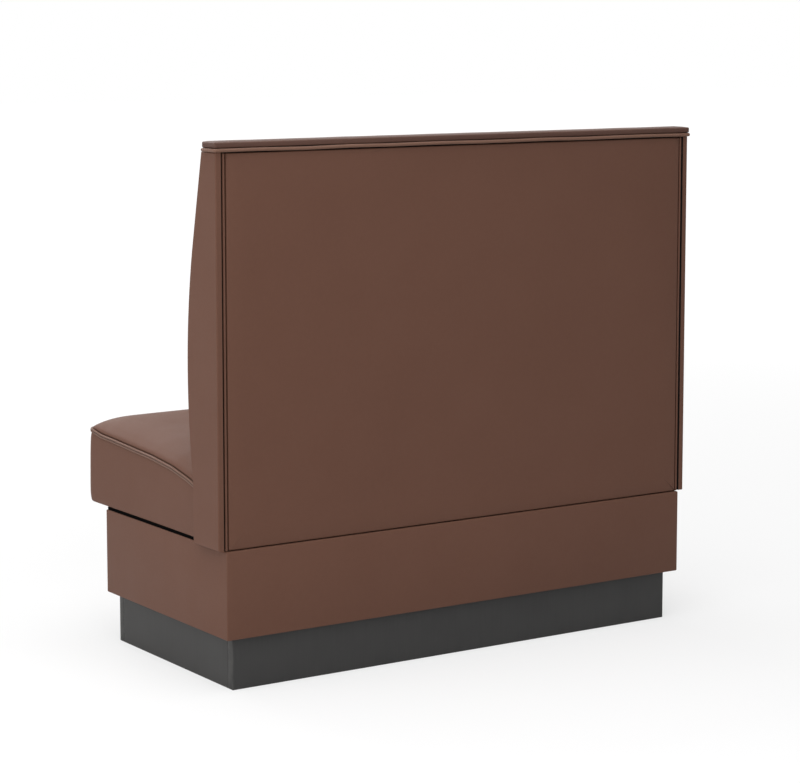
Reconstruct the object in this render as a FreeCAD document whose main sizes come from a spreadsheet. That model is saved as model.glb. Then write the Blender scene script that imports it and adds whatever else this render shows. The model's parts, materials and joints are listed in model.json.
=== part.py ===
import FreeCAD, Part
import math
import os

import Sketcher
from FreeCAD import Vector

# Single restaurant booth: an upholstered seat and back on a box base with a recessed toe kick
# X runs across the booth, the sitter faces -Y, Z is up
# The origin lies on the floor, under the middle of the booth's bounding box

os.makedirs("parts", exist_ok=True)

# Driving sizes in millimetres: alias, size, meaning
SIZES = (
    ("booth_width", 1168, "over the outer faces of the end panels"),
    ("booth_depth", 602, "from the front of the seat welt to the back of the cap welt"),
    ("booth_height", 1080, "floor to the top of the cap"),
    ("vinyl", 1.1, "thickness of the vinyl"),
    ("clearance", 0.3, "gap between a soft or lift-out piece and its seat"),
    ("kick_side_step", 22.5, "toe kick in from the base's ends"),
    ("kick_front_step", 13, "toe kick in from the base's front"),
    ("kick_back_step", 20.4, "toe kick in from the base's back"),
    ("kick_height", 106, "toe kick, floor to base"),
    ("kick_board", 19, "toe kick board thickness"),
    ("kick_block", 38, "toe kick corner block, square"),
    ("kick_block_height", 80, "toe kick corner block, tall"),
    ("kick_screw", 4.4, "toe kick screw shank diameter"),
    ("kick_screw_head", 9, "toe kick screw head diameter"),
    ("kick_screw_length", 50, "toe kick screw, overall"),
    ("screw_fit", 0.15, "radial clearance of screws and bolts in their holes"),
    ("base_side_step", 16, "base box in from the end panels"),
    ("base_front_step", 84.4, "base box behind the seat's front"),
    ("base_height", 177, "base box, tall"),
    ("base_board", 19, "base board thickness"),
    ("base_floor", 12, "base bottom board thickness"),
    ("base_cleat", 38, "cleat under the back frame, square"),
    ("edge_round", 2.5, "rounding of the vinyl over a board's edge"),
    ("strip_height", 6, "seat rest strip, tall"),
    ("strip_width", 12, "seat rest strip, wide"),
    ("strip_inset", 3, "seat rest strip, in from the base's faces"),
    ("seat_side_gap", 4.9, "seat cushion to end panel"),
    ("seat_back_gap", 7.7, "seat cushion to back frame"),
    ("seat_edge", 154.5, "seat cushion, underside to welt at the front"),
    ("seat_crown", 37, "rise of the seat's middle over its welt"),
    ("seat_shoulder", 55, "width over which the seat's crown rises"),
    ("seat_corner", 25, "seat corner radius seen from above"),
    ("seat_bottom_round", 6, "rounding of the seat's bottom edges"),
    ("seat_bulge", 2, "swell of the seat's sides"),
    ("seat_draw_in", 1.5, "how far the sides pull in between the corners"),
    ("seat_return", 14, "vinyl turned in under the seat frame"),
    ("rail_thick", 19, "seat rail thickness"),
    ("rail_height", 64, "seat rail, tall"),
    ("seat_block", 38, "seat corner block, square"),
    ("seat_block_height", 50, "seat corner block, tall"),
    ("spring_wire", 3.8, "seat spring wire diameter"),
    ("spring_width", 50, "seat spring, across its loops"),
    ("clip_length", 18, "spring clip, along the wire"),
    ("clip_depth", 14, "spring clip, front to back"),
    ("clip_height", 6, "spring clip, tall"),
    ("spring_pad", 3, "felt pad over the springs"),
    ("pad_inset", 12, "felt pad, in from the seat's faces"),
    ("cambric", 0.8, "dust cover thickness"),
    ("seat_welt", 9, "seat welt, tall"),
    ("seat_welt_proud", 2.4, "seat welt, proud of the seat's side"),
    ("back_setback", 3.4, "back panels, in from the base's back face"),
    ("panel_gap", 2, "shadow gap under and over the back panels"),
    ("end_board", 11, "end panel board thickness"),
    ("foot_depth", 105, "end panel depth at its foot, from the base's back face"),
    ("foot_rise", 119, "top of the end panel's straight foot, over the base"),
    ("bulge_depth", 122.5, "end panel's greatest depth"),
    ("bulge_rise", 344, "height of the greatest depth, over the base"),
    ("shoulder_depth", 100, "end panel depth where its curve ends"),
    ("shoulder_drop", 194, "height where the curve ends, under the panel's top"),
    ("top_depth", 59.5, "end panel depth at its top"),
    ("cap_thick", 12.5, "cap thickness"),
    ("cap_depth", 52.6, "cap, front to back"),
    ("cap_overhang", 2.5, "cap past the end panel's face"),
    ("cap_return", 10, "vinyl turned in under the cap"),
    ("cap_welt", 8.5, "cap welt diameter"),
    ("cap_welt_proud", 2, "cap welt, proud of the cap"),
    ("cap_welt_corner", 5, "bend radius of the cap welt's middle line"),
    ("outside_board", 6.4, "outside back board thickness"),
    ("outside_groove", 4, "groove between end panel and piping"),
    ("panel_side_gap", 2.4, "outside back panel to its piping"),
    ("piping", 5, "outside back piping diameter"),
    ("frame_depth", 45, "back frame, front to back"),
    ("bottom_rail_height", 38, "back bottom rail, tall"),
    ("top_rail_height", 61, "back top rail, tall"),
    ("rib_thick", 18, "back rib thickness"),
    ("tuck_rail_height", 64, "rail behind the foot of the back cushion"),
    ("lining", 5.5, "inside back board thickness"),
    ("lining_top_depth", 36, "inside back board's face at its top"),
    ("lining_foot_depth", 76, "inside back board's face at its foot"),
    ("lining_foot_rise", 142, "foot of the back cushion, over the base"),
    ("back_crown", 12, "crown of the back cushion"),
    ("back_shoulder", 60, "width over which the back's crown rises"),
    ("back_roll", 22, "rounding of the back cushion's foot"),
    ("lag_bolt", 8, "lag bolt diameter"),
    ("lag_bolt_length", 70, "lag bolt under its head"),
    ("lag_head", 14, "lag bolt head, across its corners"),
    ("lag_head_height", 5.5, "lag bolt head, tall"),
)

# Counts and shares of the sizes above
RAIL_ROUND_SHARE = 1.5
SPRINGS = 7
SPRING_RUNS = 24
SPRING_SPACING_SHARE = 0.1323
RIB_PLACE_SHARES = (-0.25, 0.0, 0.25)
LAG_BOLT_PLACE_SHARES = (-0.38, -0.13, 0.13, 0.38)
CORNER_STEPS = 6
HEX_SIDES = 6

# Height of the seat's welt over the seat's underside, front to back:
# share of the seat's depth, share of the height at the front
EDGE_HEIGHT_SHARES = (
    (0.0, 1.0), (0.045, 0.995), (0.075, 0.975), (0.12, 0.95), (0.2, 0.937), (0.37, 0.9), (0.54, 0.866),
    (0.7, 0.807), (0.82, 0.726), (0.88, 0.671), (0.94, 0.608), (1.0, 0.54),
)
SEAT_STATION_SHARES = (0.075, 0.1, 0.15, 0.27, 0.36, 0.45, 0.53, 0.61, 0.69, 0.76, 0.82, 0.88, 0.92)
LEAST_CROWN_SHARE = 0.05
SHOULDER_RISE_SHARE = 0.9
SHOULDER_SAG_SHARE = 0.3
REAR_SHOULDER_SHARE = 1.6
BACK_STATION_SHARES = (0.06, 0.14, 0.24, 0.34, 0.44, 0.55, 0.66, 0.76, 0.86, 0.94, 1.0)
BACK_ROLL_STEP_SHARES = (0.0, 0.1, 0.3, 0.6, 1.0)
BACK_FOOT_DEPTH_SHARE = 0.45
TOP_CROWN_SHARE = 0.15
FOOT_CROWN_SHARE = 0.55

doc = FreeCAD.newDocument("Booth")
sheet = doc.addObject("Spreadsheet::Sheet", "Sizes")
for row, (alias, length, meaning) in enumerate(SIZES, start=1):
    sheet.set(f"A{row}", meaning)
    sheet.set(f"B{row}", str(length))
    sheet.setAlias(f"B{row}", alias)
doc.recompute()

nodes = {}


class Value:
    """A size worked out from the sheet: its number, and its text for an object's expression."""

    def __init__(self, text, number):
        self.text = text
        self.number = number

    @staticmethod
    def of(other):
        return other if isinstance(other, Value) else Value(repr(other), other)

    def __add__(self, other):
        return Value(f"({self.text} + {other.text})", self.number + other.number)

    def __sub__(self, other):
        return Value(f"({self.text} - {other.text})", self.number - other.number)

    def __neg__(self):
        return Value(f"(-1 * {self.text})", -self.number)

    def __mul__(self, other):
        other = Value.of(other)
        return Value(f"({self.text} * {other.text})", self.number * other.number)

    def __truediv__(self, other):
        other = Value.of(other)
        return Value(f"({self.text} / {other.text})", self.number / other.number)


def size(alias):
    return Value(f"Sizes.{alias}", float(sheet.get(alias)))


def bind(item, name, value):
    item.setExpression(name, value.text)


ZERO = Value("0", 0.0)

vinyl = size("vinyl")
clearance = size("clearance")

# Planes that the pieces share
back = size("booth_depth") / 2 - size("cap_welt_proud")
base_top = size("kick_height") + size("base_height")
seat_front = size("seat_welt_proud") - size("booth_depth") / 2
end_outer = size("booth_width") / 2
end_inner = end_outer - vinyl - size("end_board")
base_half = end_outer - size("base_side_step")
base_front = seat_front + size("base_front_step")
kick_half = base_half - size("kick_side_step")
kick_back = back - size("kick_back_step")
kick_front = base_front + size("kick_front_step")
cap_bottom = size("booth_height") - size("cap_thick")
panel_top = cap_bottom - size("cap_welt")
panel_bottom = base_top + size("panel_gap")
panel_back = back - size("back_setback")
frame_back = panel_back - vinyl - size("outside_board")
frame_front = frame_back - size("frame_depth")
lining_foot = base_top + size("lining_foot_rise")
lining_top = panel_top - size("panel_gap")
strip_top = base_top + size("strip_height")
seat_bottom = strip_top + clearance
seat_back = frame_front - size("seat_back_gap")
seat_depth = seat_back - seat_front
seat_half = end_inner - size("seat_side_gap")
rail_bottom = seat_bottom + vinyl
rail_top = rail_bottom + size("rail_height")


def place(item, x, y, z):
    for name, value in (("x", x), ("y", y), ("z", z)):
        bind(item, f"Placement.Base.{name}", value)


def block(label, low, high):
    """A rectangular board between two corners."""
    item = doc.addObject("Part::Box", label)
    item.Label = label
    for name, start, stop in zip(("Length", "Width", "Height"), low, high):
        bind(item, name, stop - start)
    place(item, *low)
    return item


def rod(label, diameter, foot, length):
    """An upright cylinder standing on a point."""
    item = doc.addObject("Part::Cylinder", label)
    item.Label = label
    bind(item, "Radius", diameter / 2)
    bind(item, "Height", length)
    place(item, *foot)
    return item


def cut(label, base, tool):
    item = doc.addObject("Part::Cut", label)
    item.Label = label
    item.Base = base
    item.Tool = tool
    return item


def group(label, items):
    """Separate solids kept together in one object."""
    item = doc.addObject("Part::Compound", label)
    item.Label = label
    item.Links = items
    return item


def join(label, items):
    item = doc.addObject("Part::MultiFuse", label)
    item.Label = label
    item.Shapes = items
    return item


def shaped(label, shape):
    """A piece whose form comes from lofts or sweeps."""
    item = doc.addObject("Part::Feature", label)
    item.Label = label
    item.Shape = shape
    return item


def node(item):
    nodes[item.Label] = item
    return item


def pin_point(sketch, curve, end, u, v):
    """Hold one end of a sketch curve at a place worked out from the sheet."""
    for kind, axis, value in (("DistanceX", -2, u), ("DistanceY", -1, v)):
        if abs(value.number) < clearance.number / 2:
            sketch.addConstraint(Sketcher.Constraint("PointOnObject", curve, end, axis))
        else:
            index = sketch.addConstraint(Sketcher.Constraint(kind, -1, 1, curve, end, value.number))
            sketch.setExpression(f"Constraints[{index}]", value.text)


def outline(body, plane_role, points, arc_heights=None):
    """A closed sketch through points. An arc's middle lies at the given height."""
    arc_heights = arc_heights or {}
    sketch = body.newObject("Sketcher::SketchObject", body.Name + "_outline")
    plane = [item for item in body.Origin.OriginFeatures if item.Role == plane_role][0]
    sketch.AttachmentSupport = (plane, [""])
    sketch.MapMode = "FlatFace"
    ends = []
    for index, (u, v) in enumerate(points):
        start = Vector(u.number, v.number, 0)
        next_u, next_v = points[(index + 1) % len(points)]
        stop = Vector(next_u.number, next_v.number, 0)
        if index in arc_heights:
            height = arc_heights[index].number
            chord = stop - start
            middle = (start + stop) * 0.5
            centre = Vector(middle.x - (height - middle.y) * chord.y / chord.x, height, 0)
            spoke = (middle - centre).normalize() * (start - centre).Length
            curve = Part.Arc(start, centre + spoke, stop)
        else:
            curve = Part.LineSegment(start, stop)
        sketch.addGeometry(curve, False)
        drawn = sketch.Geometry[index]
        forward = drawn.StartPoint.distanceToPoint(start) < drawn.EndPoint.distanceToPoint(start)
        ends.append((1, 2) if forward else (2, 1))
    for index, (u, v) in enumerate(points):
        following = (index + 1) % len(points)
        sketch.addConstraint(Sketcher.Constraint(
            "Coincident", index, ends[index][1], following, ends[following][0]))
        pin_point(sketch, index, ends[index][0], u, v)
    for index, height in arc_heights.items():
        mark = sketch.addConstraint(Sketcher.Constraint("DistanceY", -1, 1, index, 3, height.number))
        sketch.setExpression(f"Constraints[{mark}]", height.text)
    return sketch


def across(label, points, low_x, high_x, arc_heights=None):
    """A profile drawn in Y and Z and padded along X."""
    body = doc.addObject("PartDesign::Body", label)
    body.Label = label
    pad = body.newObject("PartDesign::Pad", label + "_pad")
    pad.Profile = outline(body, "YZ_Plane", points, arc_heights)
    bind(pad, "Length", high_x - low_x)
    place(body, low_x, ZERO, ZERO)
    return body


def upright(label, low, high):
    """A rectangle drawn in plan and padded upwards, ready for its edges to be rounded."""
    body = doc.addObject("PartDesign::Body", label)
    body.Label = label
    corners = ((low[0], low[1]), (high[0], low[1]), (high[0], high[1]), (low[0], high[1]))
    pad = body.newObject("PartDesign::Pad", label + "_pad")
    pad.Profile = outline(body, "XY_Plane", corners)
    bind(pad, "Length", high[2] - low[2])
    place(body, ZERO, ZERO, low[2])
    return body


def round_edges(body, radius, wanted):
    """Round the edges of a body's last feature whose two ends pass a test."""
    doc.recompute()
    last = body.Tip
    names = [
        f"Edge{index}" for index, edge in enumerate(last.Shape.Edges, start=1)
        if wanted(edge.Vertexes[0].Point, edge.Vertexes[-1].Point)
    ]
    fillet = body.newObject("PartDesign::Fillet", body.Name + "_round")
    fillet.Base = (last, names)
    bind(fillet, "Radius", radius)
    return body


def is_upright_edge(start, stop):
    return abs(start.z - stop.z) > abs(start.x - stop.x) + abs(start.y - stop.y)


def mirrored_x(low, high):
    """The same box on the other side of the booth."""
    return (-high[0], low[1], low[2]), (-low[0], high[1], high[2])


# Toe kick: a box of painted boards, its back and front boards covering the ends of the side boards
kick_board = size("kick_board")
kick_height = size("kick_height")
kick_side_low = (kick_half - kick_board, kick_front + kick_board, ZERO)
kick_side_high = (kick_half, kick_back - kick_board, kick_height)
node(block("kick_front_board", (-kick_half, kick_front, ZERO), (kick_half, kick_side_low[1], kick_height)))
node(block("kick_back_board", (-kick_half, kick_side_high[1], ZERO), (kick_half, kick_back, kick_height)))
node(block("kick_left_board", kick_side_low, kick_side_high))
node(block("kick_right_board", *mirrored_x(kick_side_low, kick_side_high)))
node(block(
    "kick_centre_brace",
    (-kick_board / 2, kick_side_low[1], ZERO),
    (kick_board / 2, kick_side_high[1], kick_height)))

kick_block = size("kick_block")
block_top = kick_height
block_bottom = kick_height - size("kick_block_height")
kick_blocks = []
kick_holes = []
floor_holes = []
kick_screws = []
floor_top = kick_height + size("base_floor")
screw_head_height = (size("kick_screw_head") - size("kick_screw")) / 2
for side, x in (("left", kick_side_low[0] - kick_block / 2), ("right", kick_block / 2 - kick_side_low[0])):
    for end, y in (
        ("front", kick_side_low[1] + kick_block / 2),
        ("back", kick_side_high[1] - kick_block / 2),
    ):
        name = f"kick_{side}_{end}"
        kick_blocks.append(block(
            name + "_block",
            (x - kick_block / 2, y - kick_block / 2, block_bottom),
            (x + kick_block / 2, y + kick_block / 2, block_top)))
        foot = (x, y, floor_top - size("kick_screw_length"))
        shank = rod(name + "_shank", size("kick_screw"), foot, size("kick_screw_length"))
        head = doc.addObject("Part::Cone", name + "_head")
        bind(head, "Radius1", size("kick_screw") / 2)
        bind(head, "Radius2", size("kick_screw_head") / 2)
        bind(head, "Height", screw_head_height)
        place(head, x, y, floor_top - screw_head_height)
        kick_screws.append(join(name + "_screw", [shank, head]))
        hole_width = size("kick_screw") + size("screw_fit") * 2
        bore_foot = (x, y, foot[2] - size("screw_fit"))
        kick_holes.append(rod(name + "_hole", hole_width, bore_foot, size("kick_screw_length")))
        bore = rod(name + "_floor_bore", hole_width, bore_foot, size("kick_screw_length") * 2)
        sink = doc.addObject("Part::Cone", name + "_sink")
        bind(sink, "Radius1", hole_width / 2)
        bind(sink, "Radius2", size("kick_screw_head") / 2 + size("screw_fit"))
        bind(sink, "Height", screw_head_height)
        place(sink, x, y, floor_top - screw_head_height)
        floor_holes.append(join(name + "_floor_hole", [bore, sink]))
node(cut(
    "kick_corner_blocks", group("kick_block_blanks", kick_blocks), group("kick_block_holes", kick_holes)))
node(group("kick_screws", kick_screws))

# Base box: plain boards inside one wrap of vinyl that is turned over their top and bottom edges
base_board = size("base_board")
wood_half = base_half - vinyl
wood_front = base_front + vinyl
wood_back = back - vinyl
wood_bottom = size("kick_height") + vinyl
wood_top = base_top - vinyl
inside_half = wood_half - base_board
inside_front = wood_front + base_board
inside_back = wood_back - base_board
base_side_low = (inside_half, inside_front, wood_bottom)
base_side_high = (wood_half, inside_back, wood_top)
node(block("base_front_board", (-wood_half, wood_front, wood_bottom), (wood_half, inside_front, wood_top)))
node(block("base_back_board", (-wood_half, inside_back, wood_bottom), (wood_half, wood_back, wood_top)))
node(block("base_left_board", base_side_low, base_side_high))
node(block("base_right_board", *mirrored_x(base_side_low, base_side_high)))
floor_blank = block(
    "base_floor_blank",
    (-inside_half, inside_front, size("kick_height")), (inside_half, inside_back, floor_top))
node(cut("base_bottom_board", floor_blank, group("base_floor_holes", floor_holes)))

cleat = size("base_cleat")
cleat_front = inside_back - cleat
cleat_bottom = base_top - cleat
divider_front = inside_front
node(block(
    "base_centre_divider",
    (-base_board / 2, divider_front, floor_top),
    (base_board / 2, cleat_front, base_top)))

wrap_outer = upright(
    "base_wrap_outer", (-base_half, base_front, size("kick_height")), (base_half, back, base_top))
round_edges(wrap_outer, size("edge_round"), is_upright_edge)
wrap_wood = block("base_wrap_wood", (-wood_half, wood_front, wood_bottom), (wood_half, wood_back, wood_top))
wrap_window = block(
    "base_wrap_window",
    (-inside_half, inside_front, size("kick_height") - vinyl),
    (inside_half, inside_back, base_top + vinyl))
node(cut("base_vinyl_wrap", cut("base_wrap_sheet", wrap_outer, wrap_wood), wrap_window))

# Black strips that the seat rests on
strip_in = size("strip_inset")
strip_width = size("strip_width")
strip_half = base_half - strip_in
strip_front = base_front + strip_in
front_strip_back = strip_front + strip_width
back_strip_back = seat_back - vinyl - size("rail_thick") / 2
back_strip_front = back_strip_back - strip_width
node(block(
    "seat_rest_strip_front",
    (-strip_half, strip_front, base_top), (strip_half, front_strip_back, strip_top)))
node(block(
    "seat_rest_strip_back",
    (-strip_half, back_strip_front, base_top), (strip_half, back_strip_back, strip_top)))
side_strip_low = (strip_half - strip_width, front_strip_back, base_top)
side_strip_high = (strip_half, back_strip_front, strip_top)
node(block("seat_rest_strip_left", side_strip_low, side_strip_high))
node(block("seat_rest_strip_right", *mirrored_x(side_strip_low, side_strip_high)))

# Seat frame: four rails inside the drawn-in cover, with corner blocks and a middle brace
rail_thick = size("rail_thick")
rail_in = vinyl + clearance + size("seat_draw_in")
rail_half = seat_half - rail_in
rail_front = seat_front + rail_in
rail_back = seat_back - rail_in


def seat_frame_plan(label):
    """The rounded outline of the seat frame, which the rails are cut to."""
    body = upright(label, (-rail_half, rail_front, rail_bottom), (rail_half, rail_back, rail_top))
    round_edges(body, size("seat_corner") - rail_in, is_upright_edge)
    return round_edges(
        body, size("seat_bottom_round") * RAIL_ROUND_SHARE,
        lambda start, stop: start.z < vinyl.number > stop.z)


def rail(label, low, high):
    item = doc.addObject("Part::Common", label)
    item.Label = label
    item.Base = seat_frame_plan(label + "_plan")
    item.Tool = block(label + "_blank", low, high)
    return node(item)


rail_side_low = (rail_half - rail_thick, rail_front + rail_thick, rail_bottom)
rail_side_high = (rail_half, rail_back - rail_thick, rail_top)
rail("seat_front_rail", (-rail_half, rail_front, rail_bottom), (rail_half, rail_side_low[1], rail_top))
rail("seat_back_rail", (-rail_half, rail_side_high[1], rail_bottom), (rail_half, rail_back, rail_top))
rail("seat_left_rail", rail_side_low, rail_side_high)
rail("seat_right_rail", *mirrored_x(rail_side_low, rail_side_high))
node(block(
    "seat_centre_brace",
    (-rail_thick / 2, rail_side_low[1], rail_bottom),
    (rail_thick / 2, rail_side_high[1], rail_bottom + size("seat_block"))))
seat_block = size("seat_block")
seat_blocks = []
for side, x in (("left", rail_side_low[0] - seat_block), ("right", -rail_side_low[0])):
    for end, y in (("front", rail_side_low[1]), ("back", rail_side_high[1] - seat_block)):
        seat_blocks.append(block(
            f"seat_{side}_{end}_block",
            (x, y, rail_bottom),
            (x + seat_block, y + seat_block, rail_bottom + size("seat_block_height"))))
node(group("seat_corner_blocks", seat_blocks))

# Seat springs: one unbroken wire each, bent to and fro between clips on the front and back rails
clip_mid_front = rail_front + rail_thick / 2
clip_mid_back = rail_back - rail_thick / 2
spring_height = rail_top + size("clip_height") / 2


def spring_path(x):
    """Straight runs across, joined by half turns."""
    first = clip_mid_front.number
    pitch = (clip_mid_back.number - first) / (SPRING_RUNS - 1)
    height = spring_height.number
    reach = (size("spring_width").number - pitch) / 2
    edges = []
    for run in range(SPRING_RUNS):
        y = first + run * pitch
        side = 1 if run % 2 == 0 else -1
        start = Vector(x - side * reach, y, height)
        stop = Vector(x + side * reach, y, height)
        edges.append(Part.LineSegment(start, stop).toShape())
        if run < SPRING_RUNS - 1:
            turn = Vector(stop.x + side * pitch / 2, y + pitch / 2, height)
            edges.append(Part.Arc(stop, turn, Vector(stop.x, y + pitch, height)).toShape())
    print("spring at", round(x, 1), "turn radius", round(pitch / 2, 2), "gap", round(pitch - wire_width, 2))
    return Part.Wire(edges), Vector(x - reach, first, height)


wire_width = size("spring_wire").number
spring_spacing = seat_half * 2 * SPRING_SPACING_SHARE
for index in range(SPRINGS):
    x = (index - (SPRINGS - 1) / 2) * spring_spacing.number
    path, start = spring_path(x)
    section = Part.Wire(Part.makeCircle(wire_width / 2, start, Vector(1, 0, 0)))
    node(shaped(f"seat_spring_{index + 1}", path.makePipeShell([section], True, False)))

clips = []
clip_bore = size("spring_wire") + size("screw_fit") * 2
for index in range(SPRINGS):
    middle = spring_spacing * (index - (SPRINGS - 1) / 2)
    for end, y in (("front", clip_mid_front), ("back", clip_mid_back)):
        name = f"spring_clip_{end}_{index + 1}"
        body = block(
            name + "_blank",
            (middle - size("clip_length") / 2, y - size("clip_depth") / 2, rail_top),
            (middle + size("clip_length") / 2, y + size("clip_depth") / 2, rail_top + size("clip_height")))
        bore = doc.addObject("Part::Cylinder", name + "_bore")
        bind(bore, "Radius", clip_bore / 2)
        bind(bore, "Height", size("clip_length") * 2)
        bore.Placement.Rotation = FreeCAD.Rotation(Vector(0, 1, 0), 90)
        place(bore, middle - size("clip_length"), y, spring_height)
        clips.append(cut(name, body, bore))
node(group("spring_clips", clips))

pad_bottom = rail_top + size("clip_height") + clearance
pad_top = pad_bottom + size("spring_pad")
pad_in = size("pad_inset")
node(block(
    "spring_pad",
    (pad_in - seat_half, seat_front + pad_in, pad_bottom),
    (seat_half - pad_in, seat_back - pad_in, pad_top)))


# Seat cushion: lofts through one outline per station, grown or shrunk for cover, foam and welt
def edge_share(place_share):
    """Height of the welt along the seat, as a share of its height at the front."""
    for (left, low), (right, high) in zip(EDGE_HEIGHT_SHARES, EDGE_HEIGHT_SHARES[1:]):
        if place_share <= right:
            return low + (high - low) * max(place_share - left, 0) / (right - left)
    return EDGE_HEIGHT_SHARES[-1][1]


def dome(share):
    """Quarter circle that rises from 0 to 1."""
    return math.sqrt(max(0.0, 1 - (1 - min(max(share, 0.0), 1.0)) ** 2))


def seat_stations(grow):
    """Places along the seat and half widths there, with rounded corners, front to back."""
    front, rear = seat_front.number, seat_back.number
    half, corner, depth = seat_half.number, size("seat_corner").number, seat_depth.number
    turns = [math.pi / 2 * step / CORNER_STEPS for step in range(CORNER_STEPS + 1)]
    outer = corner + grow
    stations = [(front + corner - outer * math.cos(a), half - corner + outer * math.sin(a)) for a in turns]
    stations += [(front + share * depth, half + grow) for share in SEAT_STATION_SHARES]
    stations += [
        (rear - corner + outer * math.sin(a), half - corner + outer * math.cos(a)) for a in turns]
    draw_in = size("seat_draw_in").number
    drawn = []
    for y, width in stations:
        share = (y - front) / depth
        drawn.append((y, width - draw_in * max(0.0, math.sin(math.pi * share))))
    return drawn


def seat_edge_height(y):
    share = (y - seat_front.number) / seat_depth.number
    return seat_bottom.number + size("seat_edge").number * edge_share(share)


def seat_crown_height(y):
    shoulder = size("seat_shoulder").number
    front_rise = dome((y - seat_front.number) / shoulder)
    rear_rise = dome((seat_back.number - y) / (shoulder * REAR_SHOULDER_SHARE))
    return size("seat_crown").number * max(LEAST_CROWN_SHARE, front_rise * rear_rise)


def arc(start, middle, stop):
    return Part.Arc(start, middle, stop).toShape()


def line(start, stop):
    return Part.LineSegment(start, stop).toShape()


def seat_section(y, half, grow, first, last):
    """One outline of the cushion: flat bottom, rounded lower edges, swelling sides, crowned top."""
    rounding = size("seat_bottom_round").number + grow
    lift = rounding * (1 - dome((y - first) / rounding) * dome((last - y) / rounding))
    bottom = seat_bottom.number - grow + lift
    edge = seat_edge_height(y) + grow
    crown = seat_crown_height(y)
    bulge = size("seat_bulge").number
    shoulder = size("seat_shoulder").number
    knee = edge + crown * SHOULDER_RISE_SHARE
    sag = crown * SHOULDER_SAG_SHARE
    chord = math.hypot(shoulder, knee - edge)
    lean = rounding * math.sqrt(0.5)

    def side(sign):
        low = Vector(sign * (half - rounding), y, bottom)
        turn = Vector(sign * (half - rounding + lean), y, bottom + rounding - lean)
        heel = Vector(sign * half, y, bottom + rounding)
        swell = Vector(sign * (half + bulge), y, (bottom + rounding + edge) / 2)
        rim = Vector(sign * half, y, edge)
        over = Vector(
            sign * (half - shoulder / 2 + sag * (knee - edge) / chord), y,
            (edge + knee) / 2 + sag * shoulder / chord)
        top = Vector(sign * (half - shoulder), y, knee)
        return low, turn, heel, swell, rim, over, top

    right, left = side(1), side(-1)
    crest = Vector(0, y, edge + crown)
    return Part.Wire([
        line(left[0], right[0]),
        arc(right[0], right[1], right[2]),
        arc(right[2], right[3], right[4]),
        arc(right[4], right[5], right[6]),
        arc(right[6], crest, left[6]),
        arc(left[6], left[5], left[4]),
        arc(left[4], left[3], left[2]),
        arc(left[2], left[1], left[0]),
    ])


def seat_form(grow):
    stations = seat_stations(grow)
    first, last = stations[0][0], stations[-1][0]
    return Part.makeLoft([seat_section(y, half, grow, first, last) for y, half in stations], True, True)


def welt_section(y, half):
    """A flat band that follows the seat's edge, bevelled at its rim."""
    middle = seat_edge_height(y)
    proud = size("seat_welt_proud").number
    reach = size("seat_welt").number / 2
    rim = [(half - proud * 0.6, -1.0), (half, -0.4), (half, 0.4), (half - proud * 0.6, 1.0)]
    rim += [(-x, z) for x, z in reversed(rim)]
    corners = [Vector(x, y, middle + z * reach) for x, z in rim]
    return Part.makePolygon(corners + corners[:1])


def box_shape(low, high):
    spans = [stop.number - start.number for start, stop in zip(low, high)]
    return Part.makeBox(*spans, Vector(*[start.number for start in low]))


seat_outer = seat_form(0.0)
seat_inner = seat_form(-vinyl.number)
return_half = seat_half - size("seat_return")
return_front = seat_front + size("seat_return")
return_back = seat_back - size("seat_return")
window = box_shape(
    (-return_half, return_front, seat_bottom - vinyl), (return_half, return_back, rail_bottom + vinyl))
node(shaped("seat_cover", seat_outer.cut(seat_inner).cut(window)))
above_pad = box_shape(
    (-seat_half, seat_front, pad_top + clearance),
    (seat_half, seat_back, pad_top + size("seat_edge") + size("seat_crown")))
node(shaped("seat_foam", seat_form(-(vinyl + clearance).number).common(above_pad)))
welt_slab = Part.makeLoft(
    [welt_section(y, half) for y, half in seat_stations(size("seat_welt_proud").number)], True, True)
node(shaped("seat_welt", welt_slab.cut(seat_form(clearance.number))))
node(block(
    "seat_dust_cover",
    (clearance - return_half, return_front + clearance, rail_bottom - size("cambric")),
    (return_half - clearance, return_back - clearance, rail_bottom)))

# Back frame: bottom and top rails between the end panels, ribs, and a rail for the cushion's foot
slope = (size("lining_foot_depth") - size("lining_top_depth")) / (lining_top - lining_foot)


def lining_face(height):
    """Front face of the leaning inside board at a height."""
    return back - size("lining_top_depth") - (lining_top - height) * slope


def lining_rear(height):
    return lining_face(height) + size("lining")


bottom_rail_top = base_top + size("bottom_rail_height")
frame_top = cap_bottom + vinyl
top_rail_bottom = frame_top - size("top_rail_height")
tuck_bottom = lining_foot
tuck_top = tuck_bottom + size("tuck_rail_height")
lag_bolts = []
rail_holes = []
cleat_holes = []
lag_hole = size("lag_bolt") + size("screw_fit") * 2
lag_y = (frame_front + inside_back) / 2
for index, share in enumerate(LAG_BOLT_PLACE_SHARES, start=1):
    x = base_half * 2 * share
    foot = (x, lag_y, bottom_rail_top - size("lag_bolt_length"))
    shank = rod(f"lag_bolt_{index}_shank", size("lag_bolt"), foot, size("lag_bolt_length"))
    head = doc.addObject("Part::Prism", f"lag_bolt_{index}_head")
    head.Polygon = HEX_SIDES
    bind(head, "Circumradius", size("lag_head") / 2)
    bind(head, "Height", size("lag_head_height"))
    place(head, x, lag_y, bottom_rail_top)
    lag_bolts.append(join(f"lag_bolt_{index}", [shank, head]))
    hole_foot = (x, lag_y, foot[2] - size("screw_fit"))
    for holes, name in ((rail_holes, "rail"), (cleat_holes, "cleat")):
        holes.append(rod(f"{name}_hole_{index}", lag_hole, hole_foot, size("lag_bolt_length") * 2))
bottom_rail_blank = block(
    "back_bottom_rail_blank",
    (-end_inner, frame_front, base_top), (end_inner, frame_back, bottom_rail_top))
node(cut("back_bottom_rail", bottom_rail_blank, group("rail_holes", rail_holes)))
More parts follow.
